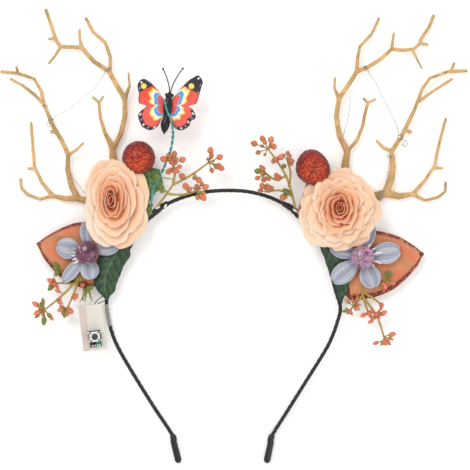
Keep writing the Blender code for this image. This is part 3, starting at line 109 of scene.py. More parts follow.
# The bed under the petals: share of the half size, height over the back
ROSE_BED = ((0.20, -0.2), (0.34, 0.8), (0.12, 4.0), (0.04, 5.4))
ROSE_PETAL_GRID = (34, 22)
SEPALS = 5
SEPAL_TURN = 20
SEPAL_GRID = (8, 12)
SEPAL_START = 2.0
SEPAL_HALF = 2.3
SEPAL_WALL = 0.3
ROSES = {
    "left": ((-65.3, 18.0), (16.9, 23.7), (-2.6, 0.6), (205, 0.62), 11, (
        (4, 28, 132, 0.10, 1.00, 0.3, 3.6, 0.10, 0.020),
        (4, 75, 122, 0.10, 0.86, 0.5, 6.0, 0.09, 0.022),
        (3, 10, 165, 0.08, 0.70, 0.8, 8.4, 0.07, 0.020),
        (3, 62, 178, 0.06, 0.53, 1.0, 10.4, 0.05, 0.016),
        (2, 150, 235, 0.05, 0.39, 1.2, 11.3, 0.04, 0.012),
        (2, 60, 235, 0.04, 0.27, 1.2, 11.5, 0.02, 0.010),
        (2, 100, 225, 0.03, 0.17, 1.2, 10.9, 0.00, 0.008),
        (2, 15, 215, 0.02, 0.09, 1.2, 10.2, 0.00, 0.004),
    )),
    "right": ((57.2, 13.2), (20.9, 20.4), (0.3, 1.4), (235, 0.30), 29, (
        (5, 0, 112, 0.10, 1.00, 0.3, 3.6, 0.11, 0.034),
        (5, 28, 106, 0.10, 0.88, 0.5, 5.4, 0.10, 0.036),
        (4, 10, 130, 0.09, 0.77, 0.8, 7.4, 0.10, 0.046),
        (4, 55, 128, 0.08, 0.64, 0.9, 9.0, 0.08, 0.044),
        (3, 130, 175, 0.06, 0.51, 1.0, 10.6, 0.06, 0.036),
        (3, 70, 180, 0.05, 0.38, 1.1, 11.3, 0.04, 0.020),
        (2, 20, 230, 0.05, 0.26, 1.2, 11.4, 0.02, 0.014),
        (2, 115, 205, 0.02, 0.15, 1.2, 10.9, 0.00, 0.008),
        (2, 40, 205, 0.02, 0.08, 1.2, 10.0, 0.00, 0.004),
    )),
}

# Seed pods: middle, radius of the core, seed of the draws, how much narrower and how far over
# the top is
POD_Z = 12.2
POD_BEAD = 0.86
POD_BEAD_SPACING = 1.52
POD_PACKING = 0.87
POD_CORE_MESH = (40, 24)
POD_BEAD_MESH = (9, 6)
POD_RIGHT_STALK_FOOT = (34.8, 12.0, 9.9)
POD_STALK_RADIUS = 0.9
PODS = {
    "left": ((-52.8, 42.2), 8.5, 7, (0.03, 0.0)),
    "right": ((42.7, 36.9), 9.2, 8, (0.13, 0.10)),
}

# Ears: root, heading, length, the panel's insets as shares of the rim, and sections. A section:
# share of the length, half width to the left and to the right, bulge
EAR_UNDERSIDE_Z = 2.9
EAR_WALL = 1.2
EAR_PANEL_WALL = 1.0
EAR_RIM = 1.9
EAR_LIFT = 0.5
EAR_PANEL_START = 0.16
EAR_PANEL_GAP = 0.4
EAR_GRID = (30, 70)
EAR_PANEL_GRID = (36, 70)
EARS = {
    "left": ((-63.4, -15.5), 167, 46.8, (1.5, 1.2), (
        (0.00, 5.0, 5.0, 0.0), (0.14, 12.5, 10.5, 0.0), (0.30, 17.9, 16.5, 0.3),
        (0.46, 17.6, 17.6, 0.5), (0.60, 16.0, 16.0, 0.6), (0.75, 11.7, 11.6, 0.5),
        (0.88, 6.8, 6.3, 0.3), (1.00, 0.5, 0.5, 0.0),
    )),
    "right": ((52.9, -17.7), 8, 51.4, (1.25, 1.6), (
        (0.00, 5.5, 5.5, 0.0), (0.14, 11.5, 19.0, 0.0), (0.30, 16.9, 20.2, 0.3),
        (0.48, 16.7, 19.3, 0.5), (0.63, 14.3, 16.8, 0.6), (0.77, 10.8, 12.3, 0.5),
        (0.91, 5.0, 6.3, 0.3), (1.00, 0.5, 0.5, 0.0),
    )),
}

# Blue flowers: middle, petals and stamens. A petal: heading, reach, half width, rise.
# A stamen: heading, distance of its foot from the middle, length, half width, rise
PETAL_UNDERSIDE_Z = 8.65
PETAL_FOOT = 2.0
PETAL_WALL = 0.35
PETAL_CALYX_RADIUS = 2.4
PETAL_WIDEST = 0.62
PETAL_GRID = (36, 30)
HUB_PROFILE = ((PETAL_CALYX_RADIUS * 0.7, 6.9), (PETAL_CALYX_RADIUS, 8.0),
               (4.1, PETAL_UNDERSIDE_Z + 0.1), (4.2, PETAL_UNDERSIDE_Z + 0.9), (2.0, 10.2))
BEAD_RADIUS = 6.5
BEAD_HEIGHT = 8.6
BEAD_FOOT_Z = 10.05
BEAD_MESH = (56, 32)
STAMEN_FOOT_Z = 10.8
FLOWERS = {
    "left": (
        (-80.9, -9.9),
        (
            (168, 17.0, 5.8, 0.6), (92, 17.0, 4.0, 0.0), (15, 18.0, 4.6, 0.1),
            (277, 14.6, 5.2, 0.6), (230, 20.6, 3.6, 0.3),
        ),
        ((205, 5.6, 3.6, 0.75, 0.5), (190, 6.0, 3.2, 0.6, 0.7), (218, 5.6, 4.2, 0.7, 0.4),
         (178, 5.8, 2.6, 0.5, 0.8), (160, 5.9, 2.4, 0.35, 1.0))),
    "right": (
        (69.9, -12.7),
        (
            (11, 20.8, 6.0, 0.6), (292, 17.4, 5.9, 0.6), (219, 20.6, 5.6, 0.1),
            (160, 18.6, 4.6, 0.0), (74, 19.4, 3.7, 0.0),
        ),
        ((14, 5.8, 6.0, 0.75, 0.9), (58, 5.6, 3.4, 0.45, 1.2), (-18, 5.8, 5.0, 0.7, 0.6),
         (-38, 5.4, 3.0, 0.5, 0.9), (36, 5.8, 3.4, 0.4, 1.3))),
}

# Berry sprays: root, numbers of the green berries, stems and berries. A stem: name, stem that
# carries it, share of that stem's length where it starts, length, heading at its start and
# end. A berry: stem, share of its length, distance, heading, radius
SPRAYS = {
    "upper_left": (
        (-42.4, 15.7), (18, 19),
        (
            ("main", None, 0, 14.2, 52, 56), ("a", "main", 1, 23.2, 25, 39),
            ("b", "main", 0.58, 17.3, -12, 24), ("c", "main", 1, 12.6, 69, 117),
        ),
        (
            ("a", 1, 6.8, 82, 1.8), ("a", 1, 6.8, 26, 1.8), ("a", 1, 3.2, 68, 1.3),
            ("a", 1, 5.0, -27, 1.7), ("a", 1, 7.6, -24, 1.7), ("a", 0.58, 4.8, -57, 1.8),
            ("b", 1, 2.6, 100, 1.3), ("b", 1, 4.9, 24, 1.8), ("b", 1, 5.1, -52, 1.9),
            ("c", 1, 4.8, 157, 1.9), ("c", 1, 4.8, 73, 1.8), ("c", 1, 0.3, 91, 1.7),
            ("c", 0.92, 6.2, 24, 1.8), ("c", 0.75, 3.6, 11, 1.3), ("c", 0.58, 3.2, -180, 1.7),
            ("c", 0.58, 0.9, 39, 1.7), ("a", 0.33, 2.1, 146, 1.8), ("b", 0.67, 4.0, 105, 1.9),
            ("main", 0.67, 4.5, 145, 1.7), ("c", 0.25, 9.8, 172, 1.9),
        )),
    "upper_right": (
        (33.0, 15.1), (9, 10, 18),
        (
            ("main", None, 0, 35.6, 98, 132), ("a", "main", 0.33, 14.5, 74, 114),
            ("b", "main", 0.50, 12.0, -133, -240), ("c", "main", 0.17, 14.6, 137, 204),
        ),
        (
            ("main", 1, 8.2, 160, 1.8), ("main", 1, 6.4, 119, 1.7), ("main", 1, 5.3, 72, 1.8),
            ("main", 1, 3.4, 16, 1.5), ("main", 1, 5.9, -159, 1.4), ("a", 1, 4.0, 87, 1.3),
            ("a", 0.92, 2.1, 20, 1.7), ("main", 0.75, 3.7, 53, 1.8), ("main", 0.83, 1.2, -60, 1.7),
            ("main", 0.67, 2.3, 7, 1.4), ("b", 1, 5.2, 165, 1.7), ("b", 1, 3.6, 130, 1.7),
            ("b", 1, 5.6, -154, 1.4), ("b", 0.92, 3.6, -130, 1.7), ("b", 0.42, 0.8, 61, 2.1),
            ("c", 1, 4.3, 127, 1.7), ("c", 0.92, 1.9, 95, 2.2), ("c", 0.33, 3.0, -106, 1.9),
            ("c", 0.25, 0.9, 74, 1.9),
        )),
    "lower_left": (
        (-82.0, -18.4), (1, 3, 7, 9, 10, 13, 16),
        (
            ("main", None, 0, 32.3, -124, -145), ("a", "main", 0.17, 19.4, -104, -117),
            ("b", "a", 0.25, 12.1, 170, 187), ("c", "main", 0.08, 12.8, 182, 168),
            ("d", "main", 0.17, 13.7, -60, -103),
        ),
        (
            ("main", 1, 5.9, 148, 1.7), ("main", 1, 3.3, 121, 1.3), ("main", 1, 4.2, -158, 1.8),
            ("main", 1, 6.2, -93, 1.8), ("main", 1, 6.0, -50, 1.2), ("b", 1, 2.9, 148, 1.7),
            ("b", 1, 0.3, -88, 2.0), ("b", 1, 3.2, -134, 1.7), ("main", 0.58, 3.7, 152, 1.3),
            ("c", 1, 2.8, 128, 1.7), ("c", 1, 2.4, -126, 1.8), ("main", 0.75, 2.7, -28, 1.5),
            ("a", 1, 3.3, -170, 1.7), ("a", 1, 3.5, -108, 1.4), ("a", 1, 2.0, -34, 2.1),
            ("a", 0.58, 1.8, -26, 1.4), ("d", 0.58, 3.6, 15, 1.9), ("d", 0.42, 0.3, 89, 1.7),
        )),
    "lower_right": (
        (69.9, -22.8), (0, 6),
        (
            ("main", None, 0, 20.8, -96, -65), ("a", "main", 0.58, 26.2, -47, -80),
            ("b", "main", 0.42, 12.0, -26, -43), ("c", "main", 0.25, 13.7, 17, 8),
            ("d", "main", 0.50, 10.8, -129, -131),
        ),
        (
            ("c", 1, 3.5, 71, 1.7), ("c", 0.92, 3.1, -89, 1.7), ("c", 1, 3.2, -30, 1.5),
            ("d", 0.33, 0.9, 148, 1.4), ("d", 0.75, 4.4, 140, 1.4), ("d", 1, 1.2, -102, 1.5),
            ("d", 1, 3.3, -169, 1.1), ("d", 0.67, 2.3, -48, 1.4), ("main", 1, 3.1, -157, 1.5),
            ("main", 1, 0.5, -10, 2.0), ("a", 0.50, 4.3, -149, 1.4), ("b", 1, 0.7, -45, 1.7),
            ("a", 0.42, 0.6, -3, 1.8), ("a", 0.50, 4.2, 35, 1.7), ("a", 0.92, 4.9, 14, 1.7),
            ("a", 1, 1.1, -80, 2.1), ("a", 1, 5.3, -162, 1.4),
        )),
}
# Heights of a spray's root, stems and berries, and how long and how slim its buds are
SPRAY_LEVELS = {"upper": (8.9, 12.0, 13.4), "lower": (6.6, 6.9, 8.35)}
SPRAY_BUDS = {"upper": (1.12, 1.02), "lower": (1.6, 0.9)}
SPRAY_SEED = 5
COMPANION_SHARE = 0.6
# Stems: radius at the foot, how much thinner the tip is, and knots along them
STEM_RADIUS = 0.72
STEM_TAPER = 0.24
STEM_SIDES = 10
KNOT_HEIGHT = 0.12
KNOT_SPACING = 5.0
# Buds: radius of the stalk, rings of the head, sides
STALK_RADIUS = 0.30
BUD_RINGS = 7
BUD_SIDES = 12
# Thin needles and dark red buds beside the lower left spray: place, height, and size
NEEDLES = (
    ((87, 289, 7.0), (83.5, 296, 7.2), (80, 302, 7.2)),
    ((87, 289, 7.0), (86, 296, 7.2), (85, 302.5, 7.2)),
    ((89, 289, 7.0), (90.5, 296, 7.4), (92.5, 301.5, 7.6)),
)
RED_BUDS = ((82.5, 283, 8.4, 1.0), (85.2, 282.4, 8.6, 1.1), (84.0, 285.6, 8.4, 1.0),
            (87.0, 284.8, 8.2, 0.9), (81.0, 286.0, 8.0, 0.9), (85.8, 287.8, 8.0, 0.8))

# Leaves: root, heading, length, side veins, and sections. A section: share of the length, half
# width to the left and to the right
LEAF_WALL = 0.9
LEAF_SHEET = 0.4
LEAF_GRID = (32, 80)
LEAF_DARK_LIFT = HOOP_RADIUS + 0.3
LEAF_OLIVE_LIFT = HOOP_RADIUS + 1.3
LEAF_OLIVE_RISE = 0.3
LEAVES = {
    "dark_left": ((-57.2, -0.8), 250, 38.1, 8, (
        (0.00, 0.8, 2.2), (0.14, 1.6, 6.8), (0.30, 3.4, 11.2), (0.48, 1.4, 12.3),
        (0.66, 1.3, 12.4), (0.80, 2.2, 10.6), (0.92, 0.6, 6.4), (1.00, 0.3, 0.5))),
    "dark_right": ((45.0, 1.4), -71, 41.6, 9, (
        (0.00, 1.6, 1.2), (0.17, 7.2, 1.0), (0.36, 10.2, 1.0), (0.56, 11.2, 0.6),
        (0.72, 9.6, 0.5), (0.88, 4.6, 0.8), (1.00, 0.5, 0.4))),
    "light_left": ((-48.4, 17.3), 77, 19.7, 6, (
        (0.00, 0.5, 0.8), (0.27, 3.5, 2.9), (0.50, 6.0, 5.8), (0.75, 9.0, 5.4),
        (0.95, 9.5, 3.0))),
    "olive_left": ((-48.4, 8.5), 93, 10.5, 4, (
        (0.00, 0.4, 0.4), (0.28, 1.5, 3.2), (0.60, 1.6, 3.2), (0.86, 1.2, 1.6),
        (1.00, 0.4, 0.4))),
    "green_right": ((50.5, 24.5), 66, 11.0, 4, (
        (0.00, 0.6, 0.6), (0.42, 2.2, 1.9), (0.80, 1.8, 1.5), (1.00, 0.4, 0.4))),
}
# Heights of the root and tip of the leaves that don't lie on the hoop
LEAF_HEIGHTS = {"light": (7.55, 3.8), "green": (10.2, 10.2)}

# Battery box. A lid: name, middle, half sizes, bottom and top, colour, rounding of its edges
BOX_CENTRE = (-78.2, -51.2)
BOX_TURN = 6.5
BOX_HEIGHT = 25.4
BOX_EDGE = 0.55
BOX_LIDS = (
    ("box_lid", (2.1, 0.1, 4.5, 12.5, 8.3, 8.75), (230, 222, 211), 0.3),
    ("box_lid_edge", (-4.6, 0.0, 1.9, 12.4, 8.3, 8.62), (217, 200, 190), 0.2),
)
# Leads from the box to the hoop: place on the photograph and height
BOX_LEADS = (
    ((94.5, 305.0, 7.6), (96.0, 302.0, 7.8), (99.5, 298.5, 7.4), (103.0, 296.0, 6.6),
     (106.0, 294.0, 5.4)),
    ((97.0, 305.5, 7.0), (99.0, 303.0, 7.0), (104.0, 301.0, 6.0), (107.5, 298.0, 5.0)),
)
LEAD_RADIUS = 0.24
# Switch, from its middle. Blocks of the board: middle, half sizes, colour
SWITCH_CENTRE = (-76.8, -56.0)
BOARD_Z = (8.8, 9.6)
BOARD_BLOCKS = (
    (0.0, 0.2, 3.2, 3.1, (26, 32, 30)),
    (-1.5, -4.3, 1.7, 1.4, (26, 32, 30)),
    (1.7, -4.2, 1.5, 1.3, (64, 150, 108)),
)
PLATE_HALF = 2.75
PLATE_Z = (13.2, 13.8)
PLATE_EDGE = 0.18
RIVET_OUT = 2.1
RIVET_HALF = (0.5, 0.5, 0.3)
# Solder legs, their feet, and the pads beside them: place, half sizes, bottom and top
LEG_OUT = (3.25, 2.2)
LEG_HALF = (0.22, 0.4)
FOOT_OUT = 3.55
FOOT_HALF = (0.4, 0.4)
LEG_Z = (9.62, 11.6)
FOOT_Z = (9.62, 9.86)
PADS_X = (-1.9, -0.6, 0.8, 2.0)
PADS_Y = -4.9
PAD_HALF = (0.38, 0.45)
PADS_Z = (9.60, 9.84)
# Its button: radius and height
BUTTON_PROFILE = ((1.55, 11.2), (1.75, 11.3), (1.75, 14.3), (1.62, 14.62), (1.35, 14.76),
                  (0.9, 14.7), (0.4, 14.66))

# Butterfly's wings. Outlines: heading and distance from the middle
WING_CENTRE = (-36.9, 71.2)
WING_UNDERSIDE_Z = 13.0
WING_RISE = 0.10
WING_SHEET = 0.5
WING_RINGS = 60
WING_STEP = 0.34
WING_OUTLINES = (
    (
        (135, 3.9), (124, 9.9), (127, 14.5), (131, 18.3), (136, 19.8), (143, 20.0),
        (150, 19.0), (159, 16.8), (170, 16.2), (178, 15.4), (184, 11.6), (191, 14.0),
        (196, 16.0), (202, 17.5), (217, 18.3), (224, 18.3), (235, 17.2), (243, 14.5),
        (246, 12.1), (247, 8.4), (241, 5.0),
    ),
    (
        (-57, 4.6), (-77, 7.3), (-76, 11.3), (-72, 13.9), (-63, 16.0), (-53, 16.5),
        (-44, 16.7), (-36, 15.7), (-25, 17.0), (-11, 14.0), (-5, 11.6), (1, 15.4),
        (8, 16.6), (19, 18.6), (27, 20.9), (33, 23.0), (43, 23.2), (46, 20.6),
        (49, 16.8), (51, 10.6), (49, 5.1),
    ),
)
# Their print, plain, made by rule and the same on both sides. Its bands lie at shares of the
# way from the body to the rim, and dots stand in an even row along the dark edge
PRINT_CORE = 0.33
PRINT_BLUE = 0.44
PRINT_CREAM = 0.52
PRINT_SCALLOP = 0.06
PRINT_WAVES = 9
PRINT_MARGIN = 0.5
PRINT_BORDER = 2.3
PRINT_BORDER_TOP = -3.2
PRINT_TIP = (12.5, 8.0)
PRINT_TIP_SLANT = (0.47, 0.88)
PRINT_TIP_SPOT = (13.1, 10.0)
PRINT_TIP_SPOT_RADIUS = 1.6
PRINT_DOT_STEP = 10
PRINT_DOT_INSET = 1.25
PRINT_DOT_RADIUS = 0.62

# Butterfly's body: points and feelers as place on the photograph and height, then the body's
# share of length and radius
BODY_POINTS = ((170.2, 93.5, 16.4), (169.4, 97, 16.4), (168.3, 104, 16.4), (167.6, 112, 16.3),
               (166.9, 118, 16.2), (165.6, 125, 16.2), (164.9, 130, 16.1), (164.4, 134.5, 16.0))
BODY_RADII = ((0.00, 0.8), (0.07, 1.9), (0.14, 1.7), (0.27, 2.4), (0.42, 2.3), (0.53, 1.95),
              (0.64, 2.15), (0.77, 2.55), (0.90, 1.7), (1.00, 0.3))
BODY_EYES = ((167.5, 95.7), (171.9, 96.1))
WIRE_OVER_BODY = ((173.2, 131, 18.3), (172.4, 126, 18.5), (170.5, 119, 18.5),
                  (168, 113, 18.5), (166.2, 107, 18.4), (165, 101, 17.9))
FEELERS = (
    ((169.9, 94, 16.6), (169.6, 88, 16.8), (168.2, 82, 17.0), (166.2, 76, 17.0),
     (163.4, 69.8, 17.0)),
    ((170.8, 94, 16.6), (172.3, 88, 16.8), (175, 82, 17.0), (178.8, 75.5, 17.0),
     (183.2, 69.4, 17.0)),
)

# Light wires: place on the photograph and height of each point, then the lamps' points
LIGHT_WIRE_RADIUS = 0.15
LAMP_HALF = (0.75, 0.6, 0.6)
LIGHT_WIRES = (
    (((105, 71, 5.2), (104, 75, 5.6), (101, 79, 5.0), (96, 87, 4.6), (90, 92.5, 4.4),
      (80, 100, 4.0), (70, 108.5, 4.0), (60, 114, 4.2), (53, 118, 5.0), (49.5, 118.5, 4.8)),
     (6, 8)),
    (((48, 122, 5.2), (50, 124, 5.4), (53.5, 124.5, 3.6), (50, 127, 2.4), (46.5, 125, 3.6),
      (48, 122, 5.2)), (0,)),
    (((72.5, 175, 4.6), (73, 178, 5.2), (76, 182, 5.0), (80, 187, 5.4), (84, 192, 6.4),
      (88.5, 198, 8.6)), ()),
    (((362.5, 69, 4.4), (365, 66.5, 6.2), (367.5, 69.5, 4.4), (370, 75, 4.6), (376, 83, 4.4),
      (380, 92, 4.2), (386, 103, 4.0), (392, 116, 3.8), (396, 124, 3.8), (398.5, 133, 4.6),
      (399.5, 137, 5.8), (402, 139.5, 6.4), (405.5, 141, 5.6), (407.5, 144, 4.0),
      (405, 146.5, 2.6), (402, 143.5, 2.2)), (3, 10)),
    (((350, 97, 3.6), (350, 105, 3.8), (348, 118, 4.0), (346, 125, 3.8), (344, 133, 3.6),
      (342.5, 138, 4.6)), (2,)),
    (((391, 155, 4.6), (390, 158, 4.2), (388, 170, 3.9), (386, 182, 4.0), (384, 192, 4.6),
      (381.5, 195, 5.0)), ()),
)
# Turns of light wire round a branch: place, height, heading of the branch, radius, turns
WIRE_TURNS = (
    (380.5, 196.0, 3.9, -4, 3.3, 2.4),
    (400.5, 137.0, 4.0, 56, 2.0, 1.6),
    (108.0, 69.5, 4.9, 120, 1.9, 1.5),
    (366.0, 68.5, 4.9, 25, 1.8, 1.5),
    (391.5, 157.0, 3.4, 85, 2.4, 1.2),
    (45.0, 106.0, 3.6, 108, 1.6, 1.2),
    (51.0, 119.5, 3.7, 113, 1.7, 1.6),
)

# Butterfly's wire. Sections: length, heading at the start and at the end, height at the end
WIRE_START = (-45.6, 15.7)
WIRE_START_Z = 10.35
WIRE_SECTIONS = (
    (14.0, 98, 58, 10.4), (15.2, 60, 72, 10.5), (9.5, 66, 84, 15.0), (4.5, 86, 88, 17.2),
    (7.6, 90, 86, 18.4), (7.0, 92, 105, 18.5), (14.0, 112, 110, 18.6),
)
WIRE_STRAND_RADIUS = 0.38
WIRE_TURN_Y = 56.0
TWIST_PITCH = 6.8
TWIST_APART = 0.30

# Stage: metres and watts
FLOOR_HALF = 8.0
FLOOR_Z = -0.0001
WORLD_STRENGTH = 0.62
LAMPS = (
    ("key", (-0.55, 0.75, 1.25), 0.9, 9.0),
    ("fill", (0.85, -0.35, 1.10), 1.1, 4.0),
    ("rim", (0.10, -1.10, 0.80), 0.8, 2.0),
)
PHOTO_SIZE = 470
CAMERA_REACH = 2.4
CAMERA_LEVEL = 4.0

# Colours, 0 to 255 in sRGB
TAN = (206, 166, 108)
# The antlers' peach is a painted highlight on their raised lumps, and their shade colour is painted
# shade
TAN_PEACH_HIGHLIGHT = (226, 186, 136)
TAN_SHADE = (160, 118, 70)
TAN_OLIVE = (150, 134, 78)
# The roses' heart orange is partly painted shade deep between and inside the petals, and their rim
# cream is partly a painted highlight
ROSE_HEART_AND_SHADE = (232, 122, 52)
ROSE_DEEP = (248, 172, 112)
ROSE_PEACH = (254, 210, 170)
ROSE_CREAM_AND_HIGHLIGHT = (255, 240, 222)
ROSE_PINK = (245, 190, 170)
GREEN_CALYX = (92, 112, 58)
# The pods' dark red is partly painted shade on the sides of their beads, and their orange is a
# painted highlight on their tops
POD_DARK = (112, 22, 20)
POD_RED = (176, 42, 24)
POD_ORANGE_HIGHLIGHT = (230, 96, 38)
PETAL_GREY = (158, 163, 179)
PETAL_PALE = (191, 193, 202)
PETAL_VEIN = (110, 114, 134)
PETAL_ROOT = (98, 88, 114)
STAMEN = (240, 230, 236)
LEAF_DEEP = (24, 48, 28)
LEAF_MID = (44, 78, 42)
LEAF_VEIN = (92, 124, 84)
LEAF_LIGHT = (114, 154, 84)
LEAF_LIGHT_VEIN = (168, 196, 138)
LEAF_OLIVE = (116, 132, 42)
STEM_OLIVE = (172, 152, 66)
STEM_BROWN = (176, 116, 60)
BERRY_CORAL = (224, 122, 94)
BERRY_ORANGE = (206, 128, 66)
BERRY_RUST = (190, 108, 74)
BERRY_OLIVE = (148, 122, 62)
BERRY_GREEN = (104, 124, 52)
WING_CORAL = (240, 96, 84)
WING_SCARLET = (238, 76, 48)
WING_BLUE = (84, 162, 232)
WING_CREAM = (255, 250, 232)
WING_YELLOW = (250, 224, 104)
WING_DARK = (44, 36, 40)
WING_VIOLET = (150, 136, 196)
WING_PALE = (196, 196, 224)
VELVET_BLACK = (16, 15, 17)
SUEDE_TAN = (214, 140, 98)
SUEDE_CORAL = (224, 112, 84)
SUEDE_OCHRE = (196, 132, 88)
SUEDE_BROWN = (176, 104, 70)
SUEDE_EDGE = (160, 88, 60)
TAPE_BLACK = (30, 30, 32)
FILM_PALE = (226, 218, 212)
GLUE_PALE = (244, 244, 240)
BEAD_WINE = (120, 60, 90)
WIRE_TEAL = (60, 150, 150)
WIRE_GREY = (150, 146, 140)
LAMP_CREAM = (244, 238, 214)
PLATE_WHITE = (240, 241, 242)
RIVET_BLACK = (24, 24, 26)
BUTTON_GREY = (58, 58, 60)
LEG_GREY = (200, 202, 204)
PAD_GREY = (214, 214, 208)
LEAD_GREY = (60, 60, 62)
SPRAY_TOPS = {"upper": (BERRY_RUST, BERRY_CORAL), "lower": (BERRY_CORAL, (232, 116, 100))}


def linear(colour):
    """A colour given 0 to 255 in sRGB, in linear light."""
    out = []
    for channel in colour:
        share = channel / 255
        out.append(share / 12.92 if share < 0.04 else ((share + 0.055) / 1.055) ** 2.4)
    return tuple(out)


def mix(first, second, share):
    """A colour between two others."""
    share = min(1.0, max(0.0, share))
    return tuple(a + (b - a) * share for a, b in zip(first, second))


def ease(value, low, high):
    """0 below low, 1 above high, and a smooth step between."""
    share = min(1.0, max(0.0, (value - low) / (high - low)))
    return share * share * (3 - 2 * share)


def add_node(nodes, kind, **values):
    """A shader node with some of its inputs set."""
    made = nodes.new(kind)
    for socket, value in values.items():
        made.inputs[socket.replace("_", " ")].default_value = value
    return made


def surface(name, colours=None, grain=400.0, vary=0.15, bump=0.4, bump_grain=1500.0,
            bump_depth=0.0001, cells=False, stretch=(1.0, 1.0, 1.0), **sockets):
    """A procedural material: colours mixed by noise, or painted points, with grain and bump."""
    made = bpy.data.materials.new(name)
    made.use_nodes = True
    nodes = made.node_tree.nodes
    link = made.node_tree.links.new
    shader = nodes["Principled BSDF"]
    scale = add_node(nodes, "ShaderNodeMapping", Scale=stretch)
    link(nodes.new("ShaderNodeTexCoord").outputs["Object"], scale.inputs["Vector"])
    place = scale.outputs["Vector"]
    if colours is None:
        paint = nodes.new("ShaderNodeAttribute")
        paint.attribute_name = "paint"
        base = paint.outputs["Color"]
    else:
        ramp = nodes.new("ShaderNodeValToRGB")
        if cells:
            speckle = add_node(nodes, "ShaderNodeTexVoronoi", Scale=grain)
            source = speckle.outputs["Color"]
            low, high = 0.1, 0.9
        else:
            speckle = add_node(nodes, "ShaderNodeTexNoise", Scale=grain, Detail=5.0)
            source = speckle.outputs[0]
            low, high = 0.32, 0.68
        link(place, speckle.inputs["Vector"])
        link(source, ramp.inputs["Fac"])
        steps = ramp.color_ramp.elements
        while len(steps) < len(colours):
            steps.new(0.5)
        for index, colour in enumerate(colours):
            steps[index].position = low + (high - low) * index / max(1, len(colours) - 1)
            steps[index].color = (*linear(colour), 1.0)
        base = ramp.outputs["Color"]
    blotch = add_node(nodes, "ShaderNodeTexNoise", Scale=grain * 0.37, Detail=3.0)
    link(place, blotch.inputs["Vector"])
    level = add_node(nodes, "ShaderNodeMapRange", From_Min=0.3, From_Max=0.7,
                     To_Min=1.0 - vary, To_Max=1.0 + vary)
    link(blotch.outputs[0], level.inputs["Value"])
    shift = nodes.new("ShaderNodeHueSaturation")
    link(level.outputs[0], shift.inputs["Value"])
    link(base, shift.inputs["Color"])
    link(shift.outputs["Color"], shader.inputs["Base Color"])
    rough = add_node(nodes, "ShaderNodeTexVoronoi" if cells else "ShaderNodeTexNoise",
                     Scale=bump_grain)
    link(place, rough.inputs["Vector"])
    relief = add_node(nodes, "ShaderNodeBump", Strength=bump, Distance=bump_depth)
    link(rough.outputs[0], relief.inputs["Height"])
    link(relief.outputs["Normal"], shader.inputs["Normal"])
    for socket, value in sockets.items():
        shader.inputs[socket.replace("_", " ")].default_value = value
    return made


def join(parts):
    """One (points, faces, colours) from several."""
    points = []
    faces = []
    colours = []
    for part_points, part_faces, part_colours in parts:
        base = len(points)
        points += part_points
        colours += part_colours
        faces += [tuple(corner + base for corner in face) for face in part_faces]
    return points, faces, colours


def paint_mesh(mesh, colours):
    """Store a colour for each point of a mesh."""
    layer = mesh.color_attributes.new("paint", "FLOAT_COLOR", "POINT")
    flat = []
    for colour in colours:
        flat += [*linear(colour), 1.0]
    layer.data.foreach_set("color", flat)


def add_object(name, data):
    """A new object in the scene."""
    made = bpy.data.objects.new(name, data)
    bpy.context.scene.collection.objects.link(made)
    return made


def enlist(made, replaces=(), body=BODY):
    """Let a piece ride on its body and stand for its CAD nodes."""
    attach(made, body)
    if replaces:
        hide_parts(*replaces)


def make(name, parts, finish, replaces=(), wall=None, body=BODY, flat=False):
    """One visible piece from its parts, in a finish, perhaps a sheet with a wall."""
    points, faces, colours = join(parts)
    mesh = bpy.data.meshes.new(name)
    mesh.from_pydata([tuple((point + SHIFT) * MM) for point in points], [], faces)
    mesh.update()
    paint_mesh(mesh, colours)
    if not flat:
        mesh.polygons.foreach_set("use_smooth", [True] * len(mesh.polygons))
    mesh.materials.append(finish)
    made = add_object(name, mesh)
    if wall:
        shell = made.modifiers.new("wall", "SOLIDIFY")
        shell.thickness = wall * MM
        shell.offset = -1.0
    enlist(made, replaces, body)
    return made


def grid(columns, rows, place):
    """A sheet of quads; place(across, along) gives each point and its colour."""
    points = []
    colours = []
    for row in range(rows + 1):
        for column in range(columns + 1):
            point, colour = place(column / columns, row / rows)
            points.append(point)
            colours.append(colour)
    faces = []
    wide = columns + 1
    for row in range(rows):
        for column in range(columns):
            low = row * wide + column
            faces.append((low, low + 1, low + wide + 1, low + wide))
    return points, faces, colours


def smooth_line(points, step):
    """Points about a step apart on a smooth curve through the given ones."""
    line = []
    count = len(points)
    for index in range(count - 1):
        a = points[max(index - 1, 0)]
        b = points[index]
        c = points[index + 1]
        d = points[min(index + 2, count - 1)]
        pieces = max(1, round((c - b).length / step))
        for piece in range(pieces):
            t = piece / pieces
            line.append((b * 2 + (c - a) * t + (a * 2 - b * 5 + c * 4 - d) * t * t
                         + (b * 3 - a - c * 3 + d) * t ** 3) * 0.5)
    line.append(points[-1].copy())
    return line


def frames(line):
    """Directions along and across a line that don't twist."""
    out = []
    aside = None
    for index in range(len(line)):
        along = (line[min(index + 1, len(line) - 1)] - line[max(index - 1, 0)]).normalized()
        if aside is None:
            aside = along.cross(UP)
            if aside.length < 0.05:
                aside = along.cross(Vector((0, 1, 0)))
        aside = (aside - along * aside.dot(along)).normalized()
        out.append((along, aside, along.cross(aside)))
    return out


def ring_faces(rings, sides):
    """The faces of a closed skin on rings of points, with its two end faces."""
    faces = []
    for low in range(0, (rings - 1) * sides, sides):
        for side in range(sides):
            after = (side + 1) % sides
            faces.append((low + side, low + after, low + sides + after, low + sides + side))
    faces.append(tuple(range(sides - 1, -1, -1)))
    faces.append(tuple(range((rings - 1) * sides, rings * sides)))
    return faces


